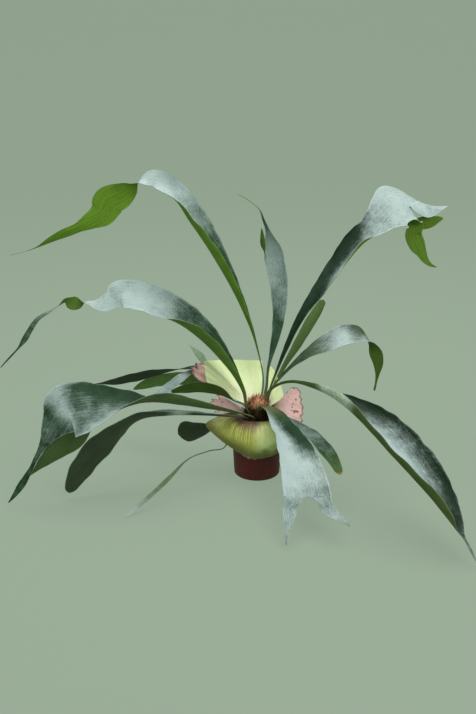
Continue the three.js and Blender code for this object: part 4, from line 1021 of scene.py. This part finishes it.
def bent(section, u):
    """Points and face directions at the shares u across each section: the width is rolled up
    evenly to an arc, so u runs to the angle cup u on a circle of radius half / cup."""
    angle = section["cup"][:, None] * u
    radius = (section["half"] / section["cup"])[:, None]
    across, normal = section["across"][:, None], section["normal"][:, None]
    point = (section["at"][:, None] + across * (radius * np.sin(angle))[..., None]
             + normal * (radius * (1 - np.cos(angle)))[..., None])
    face = normal * np.cos(angle)[..., None] - across * np.sin(angle)[..., None]
    return point, face


def rounded_fork(distance, half, radius):
    """How far a lobe's inner margin stands back, as a share of the lobe's width. Past the fork it
    follows a quarter circle, so the fork is a U, and then comes back to the lobe's own margin."""
    quarter = np.sqrt(1 - (1 - np.clip(distance / radius, 0, 1)) ** 2)
    back = 1 - smooth((distance - radius) / BLADE["fork"])
    return np.clip(radius * quarter * back / (2 * half), 0, 0.8)


def ruffle(whole, u, phase):
    """How far the margins lift, for a blade 60 mm wide: a slow sine and half a second one along
    the frond, with their own waves on each side, times the cube of the share across."""
    left, right = (np.sin(whole / slow + phase[i]) + 0.5 * np.sin(whole / slower + phase[j])
                   for (slow, slower), i, j in zip(BLADE["ripples"], (3, 4), (5, 0)))
    return np.where(u > 0, left[:, None], right[:, None]) * np.abs(u) ** 3


def half_thickness(whole, u):
    """A round stalk that flattens to a leaf: the circle sqrt(1 - u^2) turns into the parabola
    1 - (1 - margin / half) u^2, while the middle thins from the stalk's size to the blade's."""
    thin = smooth(whole / BLADE["stalk_length"])[:, None]
    middle = BLADE["stalk"] + (BLADE["half"] - BLADE["stalk"]) * np.sqrt(thin)
    leaf = 1 - (1 - BLADE["margin"] / BLADE["half"]) * u ** 2
    stalk = np.sqrt(np.maximum(1 - (0.98 * u) ** 2, 0))
    return middle * (stalk + (leaf - stalk) * thin)


def set_out(rows, heading, socket):
    """Rows that begin with reach, drift and rise from the socket, turned to x, y and z for a
    frond that leaves it at the heading. A row without a lean gets 0."""
    turn = math.radians(heading)
    c, s = math.cos(turn), math.sin(turn)
    placed = np.array([(*row, 0)[:8] for row in rows], float)
    reach, drift = placed[:, 0].copy(), placed[:, 1].copy()
    placed[:, 0] = socket[0] + reach * c - drift * s
    placed[:, 1] = socket[1] + reach * s + drift * c
    placed[:, 2] += socket[2]
    return placed


def lobe_root(parent, side):
    """Where a lobe starts: the middle of one half of its parent's last section, with half the
    width and half the cup, and rolled by the angle that the section has turned there."""
    angle = side * parent["cup"] / 2
    radius = parent["half"] / parent["cup"]
    at = (parent["at"] + parent["across"] * radius * math.sin(angle)
          + parent["normal"] * radius * (1 - math.cos(angle)))
    return [*at, parent["half"] / 2, parent["roll"] + math.degrees(angle),
            math.degrees(parent["cup"] / 2)]


def frond(name, finish, seed, heading, socket, rows, look=None, left=None, right=None, tucked=None):
    """One frond as a thin closed sheet that forks where its rows do. Its points lie half its
    thickness to both sides of the bent blade, which the ruffle lifts. A tucked lobe is a sheet
    of its own that comes out from behind the blade."""
    look = {**PLAIN, **(look or {})}
    draw = np.random.default_rng(seed)
    points, faces, fields = [], [], {"flow": [], "felt": [], "under": [], "dry": []}

    def grow(branch, columns, parent=None, side=0):
        """Adds the sheet of one branch, joined to its parent's last points, and then its lobes."""
        placed = set_out(branch["rows"], heading, socket)
        start, first_slope = branch.get("start", 0), None
        if parent:
            start, first_slope = parent["distance"], parent["along"]
            placed = np.vstack([[*lobe_root(parent, side), *placed[0, 6:]], placed])
        section = sections(placed, heading, first_slope)
        forks = "left" in branch
        distance, end = section["distance"], section["distance"][-1]
        u = np.linspace(-1, 1, columns + 1) + 0 * distance[:, None]
        calm = smooth(distance / BLADE["calm"] if parent
                      else (distance - BLADE["still"]) / BLADE["stir"])
        if forks:
            calm = calm * smooth((end - distance) / BLADE["calm"])
        else:
            blunt = min(1.1 * section["half"][-1], BLADE["blunt"])
            close = np.clip((distance - (end - blunt)) / blunt, 0, 1)
            section["half"] = section["half"] * np.sqrt(np.maximum(1 - close ** 2, 0.01))
        if parent:
            back = rounded_fork(distance, section["half"], look["sinus"] * parent["half"])
            u = side - (side - u) * (1 - back[:, None])
        whole = start + distance
        phase = draw.uniform(0, 2 * np.pi, 6)
        nibble = np.stack([np.sin(whole / f + p) for f, p in zip(BLADE["nibbles"], phase)], -1)
        section["half"] = section["half"] * (1 + BLADE["nibble"] * calm * nibble.sum(-1))
        point, face = bent(section, u)
        size = BLADE["ruffle"] * np.clip(section["half"] / 30, 0, 1) * calm
        point = point + face * (ruffle(whole, u, phase) * size[:, None])[..., None]
        half_thick = half_thickness(whole, u)[..., None]
        pair = np.stack([point + face * half_thick, point - face * half_thick], 2)
        # Painted reflection: the felt share holds the real felt and the light of the overhead lamp,
        # painted where the blade faces up or cups towards it.
        felt = section["felt"][:, None] + section["lean"][:, None] * u
        if parent:
            settle = smooth(distance / BLADE["fade"])[:, None]
            felt = parent["felt"] + (felt - parent["felt"]) * settle
        flow = np.stack([section["half"][:, None] * u, whole[:, None] + 0 * u, np.abs(u)], -1)
        withered = 0.0 if forks else min(look["dry"], 1.0)
        tip = withered * (1 - smooth((end - distance) / max(look["dry"], 1)))[:, None] + 0 * u
        rows_made = slice(1, None) if parent else slice(0, None)
        before = sum(len(block) for block in points)
        fresh = pair[rows_made].reshape(-1, 3)
        number = before + 2 * np.arange(len(fresh) // 2).reshape(-1, columns + 1)
        points.append(fresh)
        for key, grid in (("flow", flow), ("felt", felt), ("dry", tip)):
            twice = np.repeat(grid[rows_made][:, :, None], 2, 2)
            fields[key].append(twice.reshape(-1, 3) if key == "flow" else twice.reshape(-1))
        fields["under"].append(np.tile((0.0, 1.0), len(fresh) // 2))
        if parent:
            number = np.vstack([parent["number"], number])
        faces.extend(strip(number, (not parent, not forks)))
        if forks:
            tail = {key: values[-1] for key, values in section.items()}
            tail["distance"] = whole[-1]
            half_way = columns // 2
            for way, lobe in ((1, branch["left"]), (-1, branch["right"])):
                part = slice(half_way, None) if way > 0 else slice(0, half_way + 1)
                tail |= {"felt": felt[-1:, part], "number": number[-1, part]}
                grow(lobe, half_way, dict(tail), way)

    trunk = {"rows": rows}
    if left:
        trunk |= {"left": left, "right": right}
    grow(trunk, BLADE["columns"])
    if tucked:
        grow(tucked, BLADE["columns"] // 2)
    joined = {key: np.concatenate(values) for key, values in fields.items()}
    along = joined["flow"][:, 1]
    # Painted sheen: a pale stretch on the underside, between the two places that a frond's look
    # gives.
    begun, ended = (smooth((along - place) / BLADE["fade"]) for place in look["bloom"])
    joined["bloom"] = begun * (1 - ended) * joined["under"]
    tender = smooth((along - along.max()) / look["tender"] + 1)
    above = np.array(look["above"])
    joined["above"] = above + tender[:, None] * (np.array(BLADE["tender"]) - above)
    joined["below"] = np.tile(look["below"], (len(along), 1))
    piece(name.replace("frond", "blade", 1), np.vstack(points), faces, finish, "leaf", [name],
          fields=joined)


def felted_leaf():
    """Silver felt over dark green above, whose share also carries a painted reflection of the
    overhead light; plain green below. Noise in three sizes rubs the felt off in patches, in fine
    strokes along the blade and in grains; the margin keeps a pale edge line, partly felt and partly
    painted highlight, and the underside takes painted sheen where a frond asks for it. Stalks are
    brownish green, and a dry tip is brown."""
    finish = Finish("felted_leaf", Specular_IOR_Level=0.16)
    at, flow = finish.place(), finish.field("flow", "Vector")
    felt, under = finish.field("felt"), finish.field("under")
    above, below = finish.field("above", "Vector"), finish.field("below", "Vector")
    across, along, share = (finish.part(flow, axis) for axis in "XYZ")
    patch = finish.noise(at, 34, 4, 0.6)
    grain = finish.noise(at, 620, 3, 0.65)
    stroke = finish.noise(flow, 0.5, 4, 0.62, stretch=(1, 0.2, 0))
    vein = finish.noise(flow, 0.42, 3, 0.55, stretch=(1, 0.03, 0))
    # Painted highlight: a pale line along the margins, partly felt and partly light glinting on the
    # edge.
    pale_rim_and_highlight = share.step(0.90, 0.99)
    worn = (patch - 0.5) * 0.75 + (stroke - 0.5) * 0.65
    worn = worn + (grain - 0.5) * 0.35 + (vein - 0.5) * 0.50
    # Painted reflection: the silver that covers the dark green follows the felt share, real felt
    # and painted light together.
    felt_and_sheen_cover = (felt * 0.95 + worn + pale_rim_and_highlight * 0.30 + grain.step(0.56, 0.72) * 0.16).step(0.10, 1.08)
    dark = finish.scaled(above, patch * 1.6 + 0.2)
    silver_felt_and_sheen = finish.mix((grain * 0.8 + patch * 0.4 - 0.1).clip(),
                        (0.20, 0.280, 0.270), (0.435, 0.515, 0.495))
    upper = finish.mix(felt_and_sheen_cover, dark, silver_felt_and_sheen)
    plain = finish.scaled(below, 0.62 + patch * 0.5 + (vein - 0.5) * 0.9)
    # Painted sheen: the pale underside stretch stands for light glancing off the underside; the
    # rest is meal on it.
    bloom = finish.field("bloom") * stroke.step(0.2, 0.6)
    meal_and_sheen = (grain.step(0.5, 0.8) * 0.12 + pale_rim_and_highlight * 0.12 + bloom).clip()
    plain = finish.mix(meal_and_sheen, plain, (0.46, 0.56, 0.44))
    colour = finish.mix(under, upper, plain)
    stalk = (1 - along.step(20, 90)) * (0.45 + patch * 0.5)
    colour = finish.mix(stalk.clip(), colour, (0.115, 0.135, 0.055))
    dry = (finish.field("dry") + (grain - 0.5) * 0.4).step(0.35, 0.8)
    colour = finish.mix(dry, colour, (0.34, 0.185, 0.105))
    ribs = (across * 1.5 + vein * 6).sine()
    height = vein * 1.0 + ribs * 0.10 + grain * 0.35 + stroke * 0.3
    return finish.done(colour, 0.50 + felt_and_sheen_cover * 0.32, height, 0.5)


LEAF = felted_leaf()
for seed, (name, plan) in enumerate(FRONDS.items(), 40):
    frond(name, LEAF, seed, **plan)


# ---------------------------------------------------------------- the studio
# A plain pale floor that curves up into a backdrop all round, soft light from three sides, and
# the camera where the photographer stood, a little above the plant and looking down on it.
CAMERA = {"at": (-0.0385, -1.8546, 0.8496), "tilt": 72, "lens": 50, "sensor": 36}
DISH = {"flat": 3.4, "bend": 1.8, "height": 3.6, "sides": 96, "glow": (0.246, 0.317, 0.236, 1)}
# Where each lamp is and what it faces, in metres, how wide it is, and its watts.
LAMPS = {
    "overhead": ((0, -0.35, 2.7), (0, 0, 0.3), 2.4, 64),
    "key": ((0.95, -1.9, 1.7), (0, 0, 0.3), 1.1, 23),
    "fill": ((-1.9, -1.3, 1.2), (0, 0, 0.3), 1.6, 9),
    "wash": ((0, 0.75, 2.9), (0, 2.2, 1.5), 2.0, 48),
}
SKY = {"Color": (0.94, 1.0, 0.96, 1), "Strength": 0.26}


def backdrop():
    """A wide dish of paper: flat to one radius, a quarter circle up, then straight up."""
    bend = np.linspace(0, np.pi / 2, 17)
    reach = DISH["flat"] + DISH["bend"] * np.sin(bend)
    rise = DISH["bend"] * (1 - np.cos(bend))
    angle = np.linspace(0, 2 * np.pi, DISH["sides"] + 1)
    reach, rise = np.r_[0.001, reach, reach[-1]], np.r_[0.0, rise, DISH["height"]]
    points = np.stack([np.outer(reach, np.cos(angle)), np.outer(reach, np.sin(angle)),
                       np.repeat(rise[:, None], len(angle), 1)], -1)
    number = np.arange(points[..., 0].size).reshape(points.shape[:2])
    faces = np.stack([number[:-1, :-1], number[1:, :-1], number[1:, 1:], number[:-1, 1:]], -1)
    mesh = mesh_of("backdrop", points.reshape(-1, 3), faces.reshape(-1, 4).tolist())
    mesh.shade_smooth()
    finish = Finish("backdrop_paper", Specular_IOR_Level=0.1, Emission_Strength=1.0,
                    Emission_Color=DISH["glow"])
    fibre = finish.noise(finish.place(), 400, 3)
    paper = finish.mix(fibre, (0.052, 0.065, 0.049), (0.056, 0.069, 0.053))
    mesh.materials.append(finish.done(paper, 0.9, fibre, 0.02))
    shown("backdrop", mesh)


def softbox(name, at, aim, size, watts):
    """A square lamp that faces its aim and isn't seen itself."""
    lamp = bpy.data.lights.new(name, "AREA")
    lamp.shape, lamp.size, lamp.energy = "SQUARE", size, watts
    made = shown(name, lamp)
    made.location = at
    made.visible_camera = False
    way = Vector(aim) - Vector(at)
    made.rotation_euler = way.to_track_quat("-Z", "Y").to_euler()


backdrop()
for name, lamp in LAMPS.items():
    softbox(name, *lamp)
world = bpy.data.worlds.new("studio")
world.use_nodes = True
for socket, value in SKY.items():
    world.node_tree.nodes["Background"].inputs[socket].default_value = value
bpy.context.scene.world = world
bpy.context.scene.view_settings.view_transform = "Standard"

view = bpy.data.cameras.new("photograph")
view.lens, view.sensor_width = CAMERA["lens"], CAMERA["sensor"]
camera = shown("photograph", view)
camera.location = CAMERA["at"]
camera.rotation_euler = (math.radians(CAMERA["tilt"]), 0, 0)
bpy.context.scene.camera = camera
